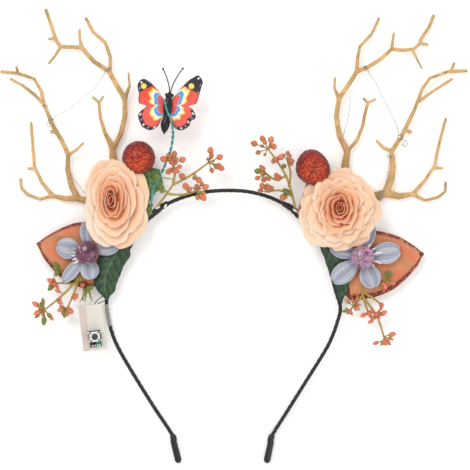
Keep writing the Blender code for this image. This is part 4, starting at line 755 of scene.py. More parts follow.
def tube(line, radius, sides, colour, round_ends=True):
    """A closed tube; radius(share, angle, distance) and colour(share) give its skin."""
    turns = frames(line)
    lengths = [0.0]
    for before, after in zip(line, line[1:]):
        lengths.append(lengths[-1] + (after - before).length)
    total = max(lengths[-1], 1e-6)
    rings = [(point, turn, lengths[i] / total, 1.0)
             for i, (point, turn) in enumerate(zip(line, turns))]
    if round_ends:
        first = radius(0.0, 0.0, 0.0)
        last = radius(1.0, 0.0, total)
        start = [(line[0] - turns[0][0] * first * sin(a), turns[0], 0.0, cos(a))
                 for a in (1.4, 1.0, 0.5)]
        end = [(line[-1] + turns[-1][0] * last * sin(a), turns[-1], 1.0, cos(a))
               for a in (0.5, 1.0, 1.4)]
        rings = start + rings + end
    points = []
    colours = []
    for point, (_, aside, upward), share, shrink in rings:
        for side in range(sides):
            angle = 2 * pi * side / sides
            reach = radius(share, angle, share * total) * shrink
            points.append(point + (aside * cos(angle) + upward * sin(angle)) * reach)
            colours.append(colour(share))
    return points, ring_faces(len(rings), sides), colours


def steady(value):
    """A radius or colour function that always gives the same value."""
    return lambda *_: value


def ball(centre, half, sides, rings, colour, turn=None):
    """A smooth ball; colour(direction) paints it and turn rotates it."""
    points = []
    colours = []
    for ring in range(rings + 1):
        slope = pi * ring / rings
        count = 1 if ring in (0, rings) else sides
        for side in range(count):
            angle = 2 * pi * side / sides
            way = Vector((sin(slope) * cos(angle), sin(slope) * sin(angle), cos(slope)))
            spot = Vector((way.x * half[0], way.y * half[1], way.z * half[2]))
            if turn is not None:
                spot = turn @ spot
            points.append(Vector(centre) + spot)
            colours.append(colour(way))
    faces = []
    last = len(points) - 1
    for side in range(sides):
        after = (side + 1) % sides
        faces.append((0, 1 + side, 1 + after))
        faces.append((last, last - sides + after, last - sides + side))
    for ring in range(rings - 2):
        low = 1 + ring * sides
        for side in range(sides):
            after = (side + 1) % sides
            faces.append((low + side, low + sides + side, low + sides + after, low + after))
    return points, faces, colours


def revolve(centre, profile, sides, colour):
    """A closed solid of (radius, height) rows turned about an upright axis."""
    points = []
    for radius, height in profile:
        for side in range(sides):
            angle = 2 * pi * side / sides
            points.append(Vector((centre[0] + radius * cos(angle),
                                  centre[1] + radius * sin(angle), height)))
    return points, ring_faces(len(profile), sides), [colour] * len(points)


def arc_points(start, length, heading_in, heading_out, steps):
    """Points along a curve whose heading turns evenly."""
    points = [Vector(start)]
    for step in range(steps):
        share = (step + 0.5) / steps
        heading = radians(heading_in + (heading_out - heading_in) * share)
        points.append(points[-1] + Vector((cos(heading), sin(heading))) * (length / steps))
    return points


def column_at(rows, station, column):
    """A table's column, read smoothly between its rows."""
    last = len(rows) - 1
    for index in range(last):
        if station <= rows[index + 1][0] or index == last - 1:
            span = rows[index + 1][0] - rows[index][0]
            t = min(1.0, max(0.0, (station - rows[index][0]) / span))
            a = rows[max(index - 1, 0)][column]
            b = rows[index][column]
            c = rows[index + 1][column]
            d = rows[min(index + 2, last)][column]
            return 0.5 * (2 * b + (c - a) * t + (2 * a - 5 * b + 4 * c - d) * t * t
                          + (3 * b - a - 3 * c + d) * t ** 3)
    return rows[-1][column]


def direction(heading):
    """A level unit vector."""
    return Vector((cos(radians(heading)), sin(radians(heading)), 0))


def axes(heading):
    """Level unit vectors along a heading and to its left."""
    along = direction(heading)
    return along, Vector((-along.y, along.x, 0))


def on_photo(x, y, height):
    """A point at a height, from where it is seen on the photograph."""
    return Vector(((x - PHOTO_MIDDLE[0]) * PIXEL, (PHOTO_MIDDLE[1] - y) * PIXEL, height))


def traced(points, step):
    """A smooth line through points given as place on the photograph and height."""
    return smooth_line([on_photo(*point) for point in points], step)


def line_length(line):
    """The length of a line of points."""
    return sum((after - before).length for before, after in zip(line, line[1:]))


def hoop_height(y):
    """Height of the hoop's middle line over the floor."""
    return SLEEVE_RADIUS + (y - HOOP_END_Y) * HOOP_LEAN


def hoop_half(sections):
    """The hoop's middle line from its crown to one end."""
    points = [Vector((HOOP_CROWN[0], HOOP_CROWN[1], hoop_height(HOOP_CROWN[1])))]
    for length, heading_in, heading_out in sections:
        flat = arc_points(points[-1].xy, length, heading_in, heading_out, HOOP_STEPS)
        points += [Vector((spot.x, spot.y, hoop_height(spot.y))) for spot in flat[1:]]
    return points


def stretch_of(line, first, last):
    """The part of a finely divided line between two distances along it."""
    kept = []
    distance = 0.0
    for before, after in zip(line, line[1:]):
        if first <= distance <= last:
            kept.append(before)
        distance += (after - before).length
    return kept


def wound(radius, ridge, pitch, lumps=0.0, taper=0.0):
    """The radius of a tube wound with overlapping tape, thinner towards its ends if asked."""
    def skin(share, angle, distance):
        turn = (distance / pitch - angle / (2 * pi)) % 1.0
        swell = 1.0 - taper * (1.0 - ease(min(share, 1.0 - share), 0.0, 0.22))
        wobble = noise.noise(Vector((distance * 0.45, cos(angle), sin(angle) + radius)))
        return (radius + ridge * (1.0 - turn) * (0.7 + 0.3 * cos(angle * 3))) * swell \
            + lumps * wobble
    return skin


def build_hoop():
    """The wound hoop, its sleeves, its binding wraps and the clear wrap beside the box."""
    tape = surface("tape_black", ((12, 11, 13), (25, 23, 25), (42, 40, 42)), grain=900.0,
                   vary=0.2, bump=0.6, bump_grain=5200.0, bump_depth=0.00012,
                   Roughness=0.6, Sheen_Weight=0.1)
    moulded = surface("plastic_black", ((18, 18, 20), (34, 34, 36)), grain=700.0, vary=0.1,
                      bump=0.15, bump_grain=2600.0, Roughness=0.36)
    film = surface("film_clear", ((226, 216, 206), (246, 240, 232)), grain=260.0, vary=0.05,
                   bump=0.9, bump_grain=420.0, bump_depth=0.0004, Roughness=0.14, Alpha=0.32)
    glue = surface("glue_clear", ((232, 232, 226), (250, 250, 246)), grain=500.0, vary=0.05,
                   bump=0.5, bump_grain=900.0, bump_depth=0.0002, Roughness=0.12,
                   Coat_Weight=0.6)
    halves = {side: hoop_half(sections) for side, sections in HOOP_SECTIONS.items()}
    whole = smooth_line(halves["left"][::-1] + halves["right"][1:], HOOP_DETAIL)
    halves = {side: smooth_line(half, HOOP_DETAIL) for side, half in halves.items()}
    make("hoop_wound_tape", [tube(whole, wound(*HOOP_TAPE), HOOP_SIDES, steady(TAPE_BLACK))], tape,
         ["headband_hoop"])
    for side, half in halves.items():
        line = stretch_of(half, *WRAP_SPANS[side])
        make("binding_tape_" + side, [tube(line, wound(*WRAP_TAPE), WRAP_SIDES, steady(TAPE_BLACK))],
             tape, ["binding_wrap_" + side])
        total = line_length(half)
        line = stretch_of(half, total - SLEEVE_LENGTH, total + 1.0)
        along = (line[-1] - line[0]).normalized()
        line.append(line[-1] + along * SLEEVE_END)

        def skin(share, *_):
            mouth = 0.16 * exp(-((share - 0.03) / 0.02) ** 2)
            return (SLEEVE_RADIUS - 0.04 - 0.18 * (1 - share)) + mouth

        make("end_cap_" + side, [tube(line, skin, SLEEVE_SIDES, steady(RIVET_BLACK))], moulded,
             ["end_sleeve_" + side])
    ties = []
    for x, y, half, tilt in GLUE_SPOTS:
        spot = on_photo(x, y, hoop_height((PHOTO_MIDDLE[1] - y) * PIXEL) + GLUE_LIFT)
        turn = Matrix.Rotation(radians(tilt), 3, "Z")
        ties.append(ball(spot, (half, half * 0.42, 0.5), 18, 10, steady(GLUE_PALE), turn))
    make("glue_spots", ties, glue)
    half = halves["left"]
    start = 0.0
    for before, after in zip(half, half[1:]):
        if after.y <= BOX_CENTRE[1] + BOX_HEIGHT / 2:
            break
        start += (after - before).length
    line = stretch_of(half, start, start + STRAP_LENGTH)

    def crinkle(_, angle, distance):
        wave = noise.noise(Vector((distance * 0.6, cos(angle) * 1.6, sin(angle) * 1.6)))
        return STRAP_RADIUS + STRAP_WAVE * wave + 0.1 * cos(angle * 2)

    make("box_film_strap", [tube(line, crinkle, STRAP_SIDES, steady(FILM_PALE), False)], film,
         ["box_strap"])


def build_antlers():
    """The four antlers: the solids' branches rounded, lumped and grooved like modelled clay."""
    clay = surface("antler_clay", None, grain=520.0, vary=0.14, bump=0.55, bump_grain=1500.0,
                   bump_depth=0.00028, stretch=(1.0, 0.45, 1.0), Roughness=0.58,
                   Specular_IOR_Level=0.35)
    for name, root, amount, near, far in ANTLERS:
        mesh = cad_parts[name].data.copy()
        made = add_object(name + "_clay", mesh)
        remesh = made.modifiers.new("remesh", "REMESH")
        remesh.mode = "VOXEL"
        remesh.voxel_size = ANTLER_VOXEL * MM
        relax = made.modifiers.new("relax", "SMOOTH")
        relax.factor = 0.5
        relax.iterations = ANTLER_RELAX
        depsgraph = bpy.context.evaluated_depsgraph_get()
        result = bpy.data.meshes.new_from_object(made.evaluated_get(depsgraph))
        made.modifiers.clear()
        made.data = result
        bpy.data.meshes.remove(mesh)
        colours = []
        start = Vector((*root, 0)) + SHIFT
        outward = [vertex.normal.copy() for vertex in result.vertices]
        for vertex, away_from_skin in zip(result.vertices, outward):
            spot = vertex.co / MM
            wave = noise.noise(Vector((spot.x * 0.42, spot.y * 0.30, spot.z * 0.42)))
            fine = noise.noise(Vector((spot.x * 1.3, spot.y * 0.7, spot.z * 1.3)) + start)
            away = (spot - start).length
            stout = amount * (1 - ease(away, near, far))
            vertex.co += away_from_skin * MM * (ANTLER_SWELL + stout + CLAY_LUMPS * wave
                                                + CLAY_GRAIN * fine)
            vertex.co.z = max(vertex.co.z, LOWEST * MM)
            # Painted light and shade: raised lumps are mixed towards peach as a painted highlight
            # and sunk places towards the shade colour as painted shade. The stretch near the root is
            # darker with painted shade. The olive patches are the clay's own colour
            tone = mix(TAN, TAN_PEACH_HIGHLIGHT, 0.45 + 0.6 * wave)
            tone = mix(tone, TAN_SHADE, ease(-fine - 0.6 * wave, 0.12, 0.6) * 0.45)
            olive = noise.noise(Vector((spot.x * 0.09, spot.y * 0.09, 3.7)))
            tone = mix(tone, TAN_OLIVE, ease(olive, 0.1, 0.5) * 0.4)
            tone = mix(tone, TAN_SHADE, (1 - ease(away, 38.0, 58.0)) * 0.35)
            colours.append(tone)
        result.polygons.foreach_set("use_smooth", [True] * len(result.polygons))
        while result.color_attributes:
            result.color_attributes.remove(result.color_attributes[0])
        paint_mesh(result, colours)
        result.materials.clear()
        result.materials.append(clay)
        enlist(made, [name])


def rose_petal(centre, half, eye, pale, heading, spread, layer, seed):
    """One petal of a rose, from its foot to its curled rim."""
    _, _, _, foot, rim, foot_z, rim_z, curl, ruffle = layer
    lean = seed.uniform(0.93, 1.05)
    lift = seed.uniform(-0.5, 0.5)
    phase = seed.uniform(0.0, 2 * pi)
    roam = Vector((seed.uniform(-0.9, 0.9), seed.uniform(-0.9, 0.9)))
    waves = seed.choice((2.0, 2.6, 3.2))
    tint = seed.uniform(-0.16, 0.16)
    pull = seed.uniform(-0.10, 0.10)
    depth = ease(rim, 0.15, 0.75)
    lobe = 0.12 + 0.20 * depth
    twist = 0.13 - 0.07 * depth
    away = 1.0 - ease(rim, 0.2, 0.9)
    palest = Vector((cos(radians(pale[0])), sin(radians(pale[0]))))

    def place(across, along):
        side = 2 * across - 1
        shape = 1.0 - lobe * abs(side) ** 3.2 + pull * side * (1 - side * side)
        out = along * shape
        angle = radians(heading + side * spread / 2)
        bend = (1.0 - depth) * 0.45 + depth * 0.95
        reach = foot + (rim * lean - foot) * out ** bend
        height = foot_z + (rim_z + lift - foot_z) * out ** (1.35 + 0.35 * depth)
        tip = ease(out, 0.72, 1.0)
        reach += curl * tip * tip
        reach *= 1.0 + twist * side
        height -= (0.6 + 9.0 * curl) * tip * tip
        crease = sin(side * pi * waves + phase)
        reach += ruffle * (crease + 0.45 * sin(side * pi * 6.3 + phase * 2.3)) * out ** 3
        height += 14.0 * ruffle * sin(side * pi * waves * 1.3 + phase * 1.7) * out ** 3
        stray = sin(pi * min(1.0, reach)) * out
        point = Vector((centre[0] + eye[0] * away + roam.x * stray
                        + half[0] * (1 - 0.22 * away) * reach * cos(angle),
                        centre[1] + eye[1] * away + roam.y * stray
                        + half[1] * (1 + 0.12 * away) * reach * sin(angle),
                        ROSE_BACK_Z + height))
        rib = 0.5 + 0.5 * noise.noise(Vector((side * 7.0, out * 1.2, phase)))
        # Each petal is deep orange at its foot and turns to peach towards its rim. This is partly
        # the cloth's own colour and partly painted shade deep between the petals
        tone = mix(ROSE_HEART_AND_SHADE, ROSE_DEEP, ease(out, 0.05, 0.50 + tint))
        tone = mix(tone, ROSE_PEACH, ease(out, 0.40 + 0.16 * (1 - depth) + tint, 0.92))
        tone = mix(tone, ROSE_PINK, 0.30 * rib * ease(out, 0.4, 0.8))
        facing = palest.dot(Vector((cos(angle), sin(angle)))) * reach
        tone = mix(tone, ROSE_CREAM_AND_HIGHLIGHT, pale[1] * ease(facing, 0.25, 0.95) * ease(out, 0.2, 0.6))
        # The rims are mixed towards cream, partly the cloth's own paler edge and partly a painted
        # highlight
        rim_share = ease(along * (0.90 + 0.10 * abs(side)), 0.84, 1.0)
        # The inner layers are mixed towards the heart's deep orange as painted shade deep in the
        # rose
        tone = mix(tone, ROSE_HEART_AND_SHADE, 0.5 * (1 - depth))
        return point, mix(tone, ROSE_CREAM_AND_HIGHLIGHT, rim_share * (0.34 + 0.46 * depth) + 0.10 * rib * depth)

    return grid(*ROSE_PETAL_GRID, place)


def build_roses():
    """The two roses, petal by petal, each on its green calyx."""
    cloth = surface("rose_cloth", None, grain=520.0, vary=0.035, bump=0.22, bump_grain=3800.0,
                    bump_depth=0.00008, Roughness=0.72, Sheen_Weight=0.35,
                    Subsurface_Weight=0.25)
    cloth.node_tree.nodes["Principled BSDF"].inputs["Subsurface Radius"].default_value = \
        (0.004, 0.002, 0.001)
    leafy = surface("calyx_green", ((72, 92, 44), (104, 124, 64), (132, 146, 84)), grain=600.0,
                    vary=0.12, bump=0.4, Roughness=0.6)
    for side, (centre, half, eye, pale, start, layers) in ROSES.items():
        seed = random.Random(start)
        parts = []
        for layer in layers:
            count, first, spread = layer[:3]
            for number in range(count):
                heading = first + 360 * number / count + seed.uniform(-7, 7)
                parts.append(rose_petal(centre, half, eye, pale, heading, spread, layer,
                                        seed))
        bed = [(share * half[0], ROSE_BACK_Z + height) for share, height in ROSE_BED]
        make("rose_petals_" + side, parts, cloth, ["rose_" + side],
             ROSE_PETAL_WALL)
        heart = (centre[0] + eye[0], centre[1] + eye[1])
        # The bed in the heart is painted the deep orange of the petals' feet, partly painted shade
        make("rose_heart_" + side, [revolve(heart, bed, 32, ROSE_HEART_AND_SHADE)], cloth)
        make("rose_calyx_" + side, [revolve(centre, CALYX_PROFILE, 28, GREEN_CALYX)], leafy)
        make("rose_sepals_" + side, [sepal(centre, 360 / SEPALS * number + SEPAL_TURN, half)
                                     for number in range(SEPALS)], leafy,
             wall=SEPAL_WALL)


def sepal(centre, heading, half):
    """One pointed green sepal under a rose."""
    along, aside = axes(heading)
    reach = half[0] * 0.50

    def place(across, station):
        side = 2 * across - 1
        width = SEPAL_HALF * sin(pi * min(1.0, station * 0.94 + 0.06)) ** 0.7
        height = ROSE_BACK_Z + 0.1 - 0.5 * sin(station * pi) + 0.25 * side * side
        point = (Vector((*centre, height)) + along * (SEPAL_START + reach * station)
                 + aside * side * width)
        return point, GREEN_CALYX

    return grid(*SEPAL_GRID, place)


def egg(way, narrow, lean):
    """A unit ball's point moved onto a pod's shape, narrower at its top."""
    return Vector((way.x * (1 - narrow * (way.y + 0.4)) - lean * way.y, way.y, way.z * 0.92))


def build_pods():
    """The two seed pods, each a core packed with glossy beads."""
    gloss = surface("pod_gloss", None, grain=900.0, vary=0.22, bump=0.5, bump_grain=2600.0,
                    bump_depth=0.00018, Roughness=0.28, Coat_Weight=0.35)
    for side, (centre, core, start, form) in PODS.items():
        seed = random.Random(start)
        middle = Vector((*centre, POD_Z))
        points, faces, colours = ball((0, 0, 0), (1, 1, 1), *POD_CORE_MESH, steady(POD_DARK))
        parts = [([middle + egg(spot, *form) * core for spot in points], faces, colours)]
        count = round(4 * pi * core * core / (POD_BEAD_SPACING ** 2 * POD_PACKING))
        for number in range(count):
            height = 1 - 2 * (number + 0.5) / count
            angle = number * pi * (3 - sqrt(5))
            ring = sqrt(1 - height * height)
            way = Vector((ring * cos(angle), ring * sin(angle), height))
            way = (way + Vector([seed.uniform(-0.03, 0.03) for _ in range(3)])).normalized()
            spot = middle + egg(way, *form) * core
            # Painted light: beads are darker red on the pod's sides as painted shade and redder on
            # top where light falls. The top is flecked with orange as a painted highlight, and some
            # beads are darker at random
            light = ease(way.z, 0.15, 0.95)
            pick = seed.random()
            tone = mix(POD_DARK, POD_RED, 0.15 + 0.85 * light)
            painted_highlight = ease(way.z - 0.35 * way.y, 0.35, 1.1)
            tone = mix(tone, POD_ORANGE_HIGHLIGHT, painted_highlight * (0.35 + 0.65 * pick))
            tone = mix(tone, POD_DARK, 0.35 if pick < 0.14 else 0.0)
            size = POD_BEAD * seed.uniform(0.78, 1.12)
            parts.append(ball(spot, (size, size * 0.92, size), *POD_BEAD_MESH, steady(tone)))
        if side == "right":
            foot = Vector(POD_RIGHT_STALK_FOOT)
            knee = foot.lerp(middle, 0.4)
            knee.z = POD_Z - core * 0.2
            line = smooth_line([foot, knee, middle], 0.5)
            parts.append(tube(line, steady(POD_STALK_RADIUS), 14, steady(STEM_BROWN)))
        make("pod_beads_" + side, parts, gloss, ["seed_pod_" + side])


def build_ears():
    """The two ears: a glittering base and a soft tan panel on it."""
    glitter = surface("ear_glitter", ((74, 28, 20), (124, 50, 32), (176, 84, 52), (104, 40, 28),
                                      (222, 140, 104)), grain=1150.0, vary=0.2, bump=0.8,
                      bump_grain=1600.0, bump_depth=0.00016, cells=True, Roughness=0.34,
                      Metallic=0.35)
    suede = surface("ear_suede", None, grain=420.0, vary=0.07, bump=0.55, bump_grain=2400.0,
                    bump_depth=0.00014, Roughness=0.8, Sheen_Weight=0.3)
    for side, (root, heading, length, insets, rows) in EARS.items():
        along, aside = axes(heading)
        end = 1.0 - 1.5 * EAR_RIM / length

        def spot(station, reach, level, bulge):
            rise = EAR_LIFT * station + column_at(rows, station, 3) * 0.8 * bulge
            return (Vector((*root, EAR_UNDERSIDE_Z + level + rise)) + along * length * station
                    + aside * reach)

        def base(across, station):
            wide = max(0.25, column_at(rows, station, 1))
            narrow = max(0.25, column_at(rows, station, 2))
            reach = (wide + narrow) * across - narrow
            bulge = 1 - (2 * across - 1) ** 2
            return spot(station, reach, EAR_WALL, bulge), POD_DARK

        def panel(across, share):
            station = EAR_PANEL_START + (end - EAR_PANEL_START) * share
            wide = max(0.1, column_at(rows, station, 1) - EAR_RIM * insets[0])
            narrow = max(0.1, column_at(rows, station, 2) - EAR_RIM * insets[1])
            reach = (wide + narrow) * across - narrow
            edge = 1 - (2 * across - 1) ** 2
            level = EAR_WALL + EAR_PANEL_GAP + EAR_PANEL_WALL - 0.45 * (1 - ease(edge, 0.0, 0.09)) \
                - 0.4 * ease(share, 0.975, 1.0)
            place = spot(station, reach, level, edge)
            blot = noise.noise(Vector((place.x * 0.16, place.y * 0.16, 2.0)))
            fleck = noise.noise(Vector((place.x * 0.9, place.y * 0.9, 5.0)))
            tone = mix(SUEDE_TAN, SUEDE_CORAL, ease(blot, 0.0, 0.5) * 0.6)
            tone = mix(tone, SUEDE_OCHRE, ease(-blot, 0.0, 0.45) * 0.5)
            tone = mix(tone, SUEDE_BROWN, ease(fleck, 0.25, 0.6) * 0.35)
            return place, mix(tone, SUEDE_EDGE, (1 - ease(edge, 0.0, 0.16)) * 0.45)

        make("ear_base_" + side, [grid(*EAR_GRID, base)], glitter, ["ear_" + side],
             EAR_WALL)
        make("ear_face_" + side, [grid(*EAR_PANEL_GRID, panel)], suede, ["ear_panel_" + side],
             EAR_PANEL_WALL * 0.9)


def blue_petal(centre, heading, reach, half, rise, number):
    """One veined petal of a blue flower."""
    along, aside = axes(heading)
    length = reach - PETAL_FOOT
    start = PETAL_UNDERSIDE_Z + 0.02 * number

    def place(across, station):
        side = 2 * across - 1
        if station < PETAL_WIDEST:
            width = 0.34 + 0.66 * ease(station, -0.1, PETAL_WIDEST)
        else:
            width = sqrt(max(0.0, 1 - ((station - PETAL_WIDEST) / 0.385) ** 2))
        notch = 1 - 0.03 * cos(side * pi * 5) * ease(station, 0.8, 1.0)
        ridge = cos(side * pi * 5.5 + 0.4 * number) * 0.5 + cos(side * pi * 13) * 0.3
        cup = 0.55 * side * side * sin(station * pi * 0.9)
        wave = 0.35 * sin(station * 4.0 + number * 1.9) * station
        height = start + rise * station + cup + wave + 0.13 * ridge * (1 - 0.6 * station) + 0.5
        point = (Vector((*centre, height)) + along * (PETAL_FOOT + length * station * notch)
                 + aside * (side * half * width))
        streak = ease(-ridge, 0.2, 0.75)
        tone = mix(PETAL_GREY, PETAL_PALE, 0.5 + 0.5 * sin(side * 6 + number * 2.1))
        tone = mix(tone, PETAL_VEIN, streak * (0.75 - 0.35 * station))
        tone = mix(tone, PETAL_PALE, ease(abs(side), 0.86, 1.0) * 0.8)
        tone = mix(tone, PETAL_PALE, ease(station, 0.95, 1.0) * 0.6)
        return point, mix(tone, PETAL_ROOT, (1 - ease(station, 0.05, 0.42)) * 0.65)

    return grid(*PETAL_GRID, place)


def build_flowers():
    """The two blue flowers with their petals, stamens and glossy beads."""
    cloth = surface("petal_cloth", None, grain=700.0, vary=0.05, bump=0.4, bump_grain=3600.0,
                    bump_depth=0.0001, Roughness=0.74, Sheen_Weight=0.4)
    white = surface("stamen_white", None, grain=900.0, vary=0.06, bump=0.3, Roughness=0.55)
    wine = surface("bead_wine", ((44, 14, 28), (88, 34, 58), (122, 62, 90), (74, 24, 46),
                                 (176, 128, 150)), grain=240.0, vary=0.25, bump=0.35,
                   bump_grain=520.0, bump_depth=0.0003, Roughness=0.26, Coat_Weight=0.7)
    lilac = surface("bead_lilac", ((70, 50, 92), (150, 92, 132), (196, 150, 168),
                                   (104, 80, 138), (222, 184, 140)), grain=300.0, vary=0.25,
                    bump=0.25, bump_grain=520.0, bump_depth=0.0003, Roughness=0.26,
                    Coat_Weight=0.7)
    beads = {"left": (wine, "bead_burgundy"), "right": (lilac, "bead_pink")}
    for side, (centre, petals, stamens) in FLOWERS.items():
        parts = [blue_petal(centre, *row, number) for number, row in enumerate(petals)]
        make("petals_blue_" + side, parts, cloth, ["blue_flower_" + side],
             PETAL_WALL)
        make("petal_hub_" + side, [revolve(centre, HUB_PROFILE, 28, PETAL_ROOT)], cloth)
        middle = Vector((*centre, BEAD_FOOT_Z + BEAD_HEIGHT / 2))
        made = ball(middle, (BEAD_RADIUS, BEAD_RADIUS, BEAD_HEIGHT / 2), *BEAD_MESH,
                    steady(BEAD_WINE))
        finish, slot = beads[side]
        make("bead_glossy_" + side, [made], finish, ["flower_bead_" + side])
        parts = []
        for heading, inner, length, width, lift in stamens:
            along, aside = axes(heading)
            first = Vector((*centre, STAMEN_FOOT_Z)) + along * inner
            knee = first + along * length * 0.5 + UP * lift + aside * 0.4
            tip = first + along * length + UP * lift * 0.7
            line = smooth_line([first, knee, tip], 0.3)
            parts.append(tube(line, leaf_radius(width), 10, steady(STAMEN)))
        make("stamens_" + side, parts, white)


def leaf_radius(width):
    """A tube radius that swells in the middle and ends in a point."""
    return lambda share, *_: width * (0.25 + 0.75 * sin(pi * min(1.0, share * 0.9 + 0.1)))


def veined_leaf(root, heading, length, rows, heights, colours, veins):
    """A leaf with a midrib and side veins, puckered between them."""
    along, aside = axes(heading)
    deep, middle, pale = colours

    def place(across, station):
        left = max(0.15, column_at(rows, station, 1))
        right = max(0.15, column_at(rows, station, 2))
        wobble = 0.25 * sin(station * 31) * ease(min(station, 1 - station), 0.0, 0.1)
        reach = (left + wobble) * (1 - across) - (right + wobble) * across
        spine = (left - right) / 2
        side = (reach - spine) / max(0.3, (left + right) / 2)
        branch = (station * veins - abs(side) * 1.5) % 1.0
        vein = exp(-((branch - 0.5) / 0.09) ** 2) * ease(abs(side), 0.02, 0.1)
        rib = exp(-(side / 0.07) ** 2)
        pucker = cos((branch - 0.5) * 2 * pi) * 0.22 * (1 - side * side)
        height = (heights[0] + (heights[1] - heights[0]) * station - pucker - 0.35 * rib
                  + 0.5 * (1 - side * side) + LEAF_WALL * 0.6)
        point = Vector((*root, height)) + along * length * station + aside * reach
        blot = noise.noise(Vector((point.x * 0.3, point.y * 0.3, 1.0)))
        tone = mix(deep, middle, 0.5 + 0.9 * blot + 0.3 * side)
        return point, mix(tone, pale, max(rib * 0.8, vein * 0.55))

    return grid(*LEAF_GRID, place)


def leaf_heights(kind, root, heading, length):
    """Heights of a leaf's root and tip."""
    if kind == "dark":
        tip = root[1] + length * sin(radians(heading))
        return tuple(hoop_height(y) + LEAF_DARK_LIFT for y in (root[1], tip))
    if kind == "olive":
        low = hoop_height(root[1]) + LEAF_OLIVE_LIFT
        return low, low + LEAF_OLIVE_RISE
    return LEAF_HEIGHTS[kind]


def build_leaves():
    """The five leaves."""
    waxy = surface("leaf_waxy", None, grain=600.0, vary=0.16, bump=0.5, bump_grain=2200.0,
                   bump_depth=0.00016, Roughness=0.42, Coat_Weight=0.12)
    light = (mix(LEAF_LIGHT, LEAF_MID, 0.3), LEAF_LIGHT, LEAF_LIGHT_VEIN)
    olive = (mix(LEAF_OLIVE, LEAF_MID, 0.4), LEAF_OLIVE, LEAF_LIGHT_VEIN)
    looks = {"dark": ((LEAF_DEEP, LEAF_MID, LEAF_VEIN), "leaf_dark"),
             "light": (light, "leaf_light"), "green": (light, "leaf_light"),
             "olive": (olive, "leaf_olive")}
    for name, (root, heading, length, veins, rows) in LEAVES.items():
        kind, side = name.split("_")
        colours, slot = looks[kind]
        heights = leaf_heights(kind, root, heading, length)
        sheet = veined_leaf(root, heading, length, rows, heights, colours, veins)
        make(f"leaf_{kind}_veined_{side}", [sheet], waxy, [f"leaf_{kind}_{side}"],
             LEAF_SHEET)


def along_line(points, station):
    """The point at a share of the way along a line of points."""
    place = station * (len(points) - 1)
    index = min(int(place), len(points) - 2)
    return points[index].lerp(points[index + 1], place - index)


def bud(origin, middle, radius, stretch, top, low):
    """A berry bud on its stalk: a swelling from olive stalk to coloured tip."""
    along = (middle - origin).normalized()
    foot = min(0.0, (middle - origin).length - 1.3 * radius * stretch)
    stalk = origin + along * foot
    base = middle - along * radius * 0.95 * stretch
    tip = middle + along * radius * 0.95 * stretch
    line = smooth_line([stalk, stalk.lerp(base, 0.5) + UP * 0.15, base], 0.6)
    line += [base.lerp(tip, (ring + 1) / BUD_RINGS) for ring in range(BUD_RINGS)]
    total = line_length(line)
    head = (tip - base).length / total

    def reach(share, *_):
        if share < 1 - head:
            return STALK_RADIUS + 0.12 * share
        t = (share - 1 + head) / head
        swell = sqrt(max(0.0, 1 - (2 * t - 0.98) ** 2))
        return max(0.22, radius * swell * (1.04 - 0.16 * t * stretch))

    def tone(share):
        t = (share - 1 + head) / head
        if t < 0:
            return mix(STEM_OLIVE, low, 0.35 + 0.5 * share)
        return mix(low, top, ease(t, 0.1, 0.65))

    return tube(line, reach, BUD_SIDES, tone)


def spray_stems(start, stems, root_z, stem_z):
    """A spray's stems: their lines by name, and their tubes."""
    lines = {}
    parts = []

    def reach(share, _, distance):
        from_knot = distance % KNOT_SPACING - KNOT_SPACING / 2
        return STEM_RADIUS - STEM_TAPER * share + KNOT_HEIGHT * exp(-(from_knot / 0.5) ** 2)

    for stem, parent, station, length, turn_in, turn_out in stems:
        origin = along_line(lines[parent], station) if parent else Vector((*start, root_z))
        flat = arc_points(origin.xy, length, turn_in, turn_out, 2)
        points = [Vector((*spot, origin.z + (stem_z - origin.z) * min(1.0, 0.75 * number)))
                  for number, spot in enumerate(flat)]
        lines[stem] = points
        parts.append(tube(smooth_line(points, 0.6), reach, STEM_SIDES,
                          lambda share: mix(STEM_OLIVE, STEM_BROWN, share * 0.6)))
    return lines, parts


def spray_buds(lines, berries, greens, level, seed):
    """A spray's buds, some with a smaller one on either side."""
    berry_z = SPRAY_LEVELS[level][2]
    long, slim = SPRAY_BUDS[level]
    parts = []
    for number, (stem, station, length, heading, radius) in enumerate(berries):
        origin = along_line(lines[stem], station)
        away = direction(heading) * length
        middle = Vector((origin.x + away.x, origin.y + away.y, berry_z + 0.17 * (number % 3)))
        top = mix(*SPRAY_TOPS[level], seed.random())
        low = mix(BERRY_OLIVE, BERRY_ORANGE, seed.random())
        if number in greens:
            top, low = BERRY_GREEN, LEAF_OLIVE
        parts.append(bud(origin, middle, radius * slim, long, top, low))
        for side in (-1, 1):
            if seed.random() < COMPANION_SHARE:
                near = direction(heading + side * seed.uniform(30, 52)) \
                    * max(2.0, length * seed.uniform(0.55, 0.9))
                spot = Vector((origin.x + near.x, origin.y + near.y, middle.z - 0.3))
                parts.append(bud(origin, spot, radius * seed.uniform(0.6, 0.8) * slim,
                                 long * 1.15, mix(low, top, seed.random() * 0.7),
                                 BERRY_OLIVE))
    return parts


def build_sprays():
    """The four berry sprays, with their stems, stalks and buds."""
    wax = surface("berry_wax", None, grain=800.0, vary=0.14, bump=0.35, bump_grain=2600.0,
                  bump_depth=0.00012, Roughness=0.46, Subsurface_Weight=0.08,
                  Coat_Weight=0.1)
    seed = random.Random(SPRAY_SEED)
    for name, (start, greens, stems, berries) in SPRAYS.items():
        level = name.split("_")[0]
        lines, parts = spray_stems(start, stems, *SPRAY_LEVELS[level][:2])
        parts += spray_buds(lines, berries, greens, level, seed)
        if name == "lower_left":
            parts += [tube(traced(points, 0.5), leaf_radius(0.5), 8, steady(LEAF_OLIVE))
                      for points in NEEDLES]
            parts += [ball(on_photo(x, y, height), (size, size, size), 14, 9, steady(POD_DARK))
                      for x, y, height, size in RED_BUDS]
        make("berries_" + name, parts, wax, ["berry_spray_" + name])


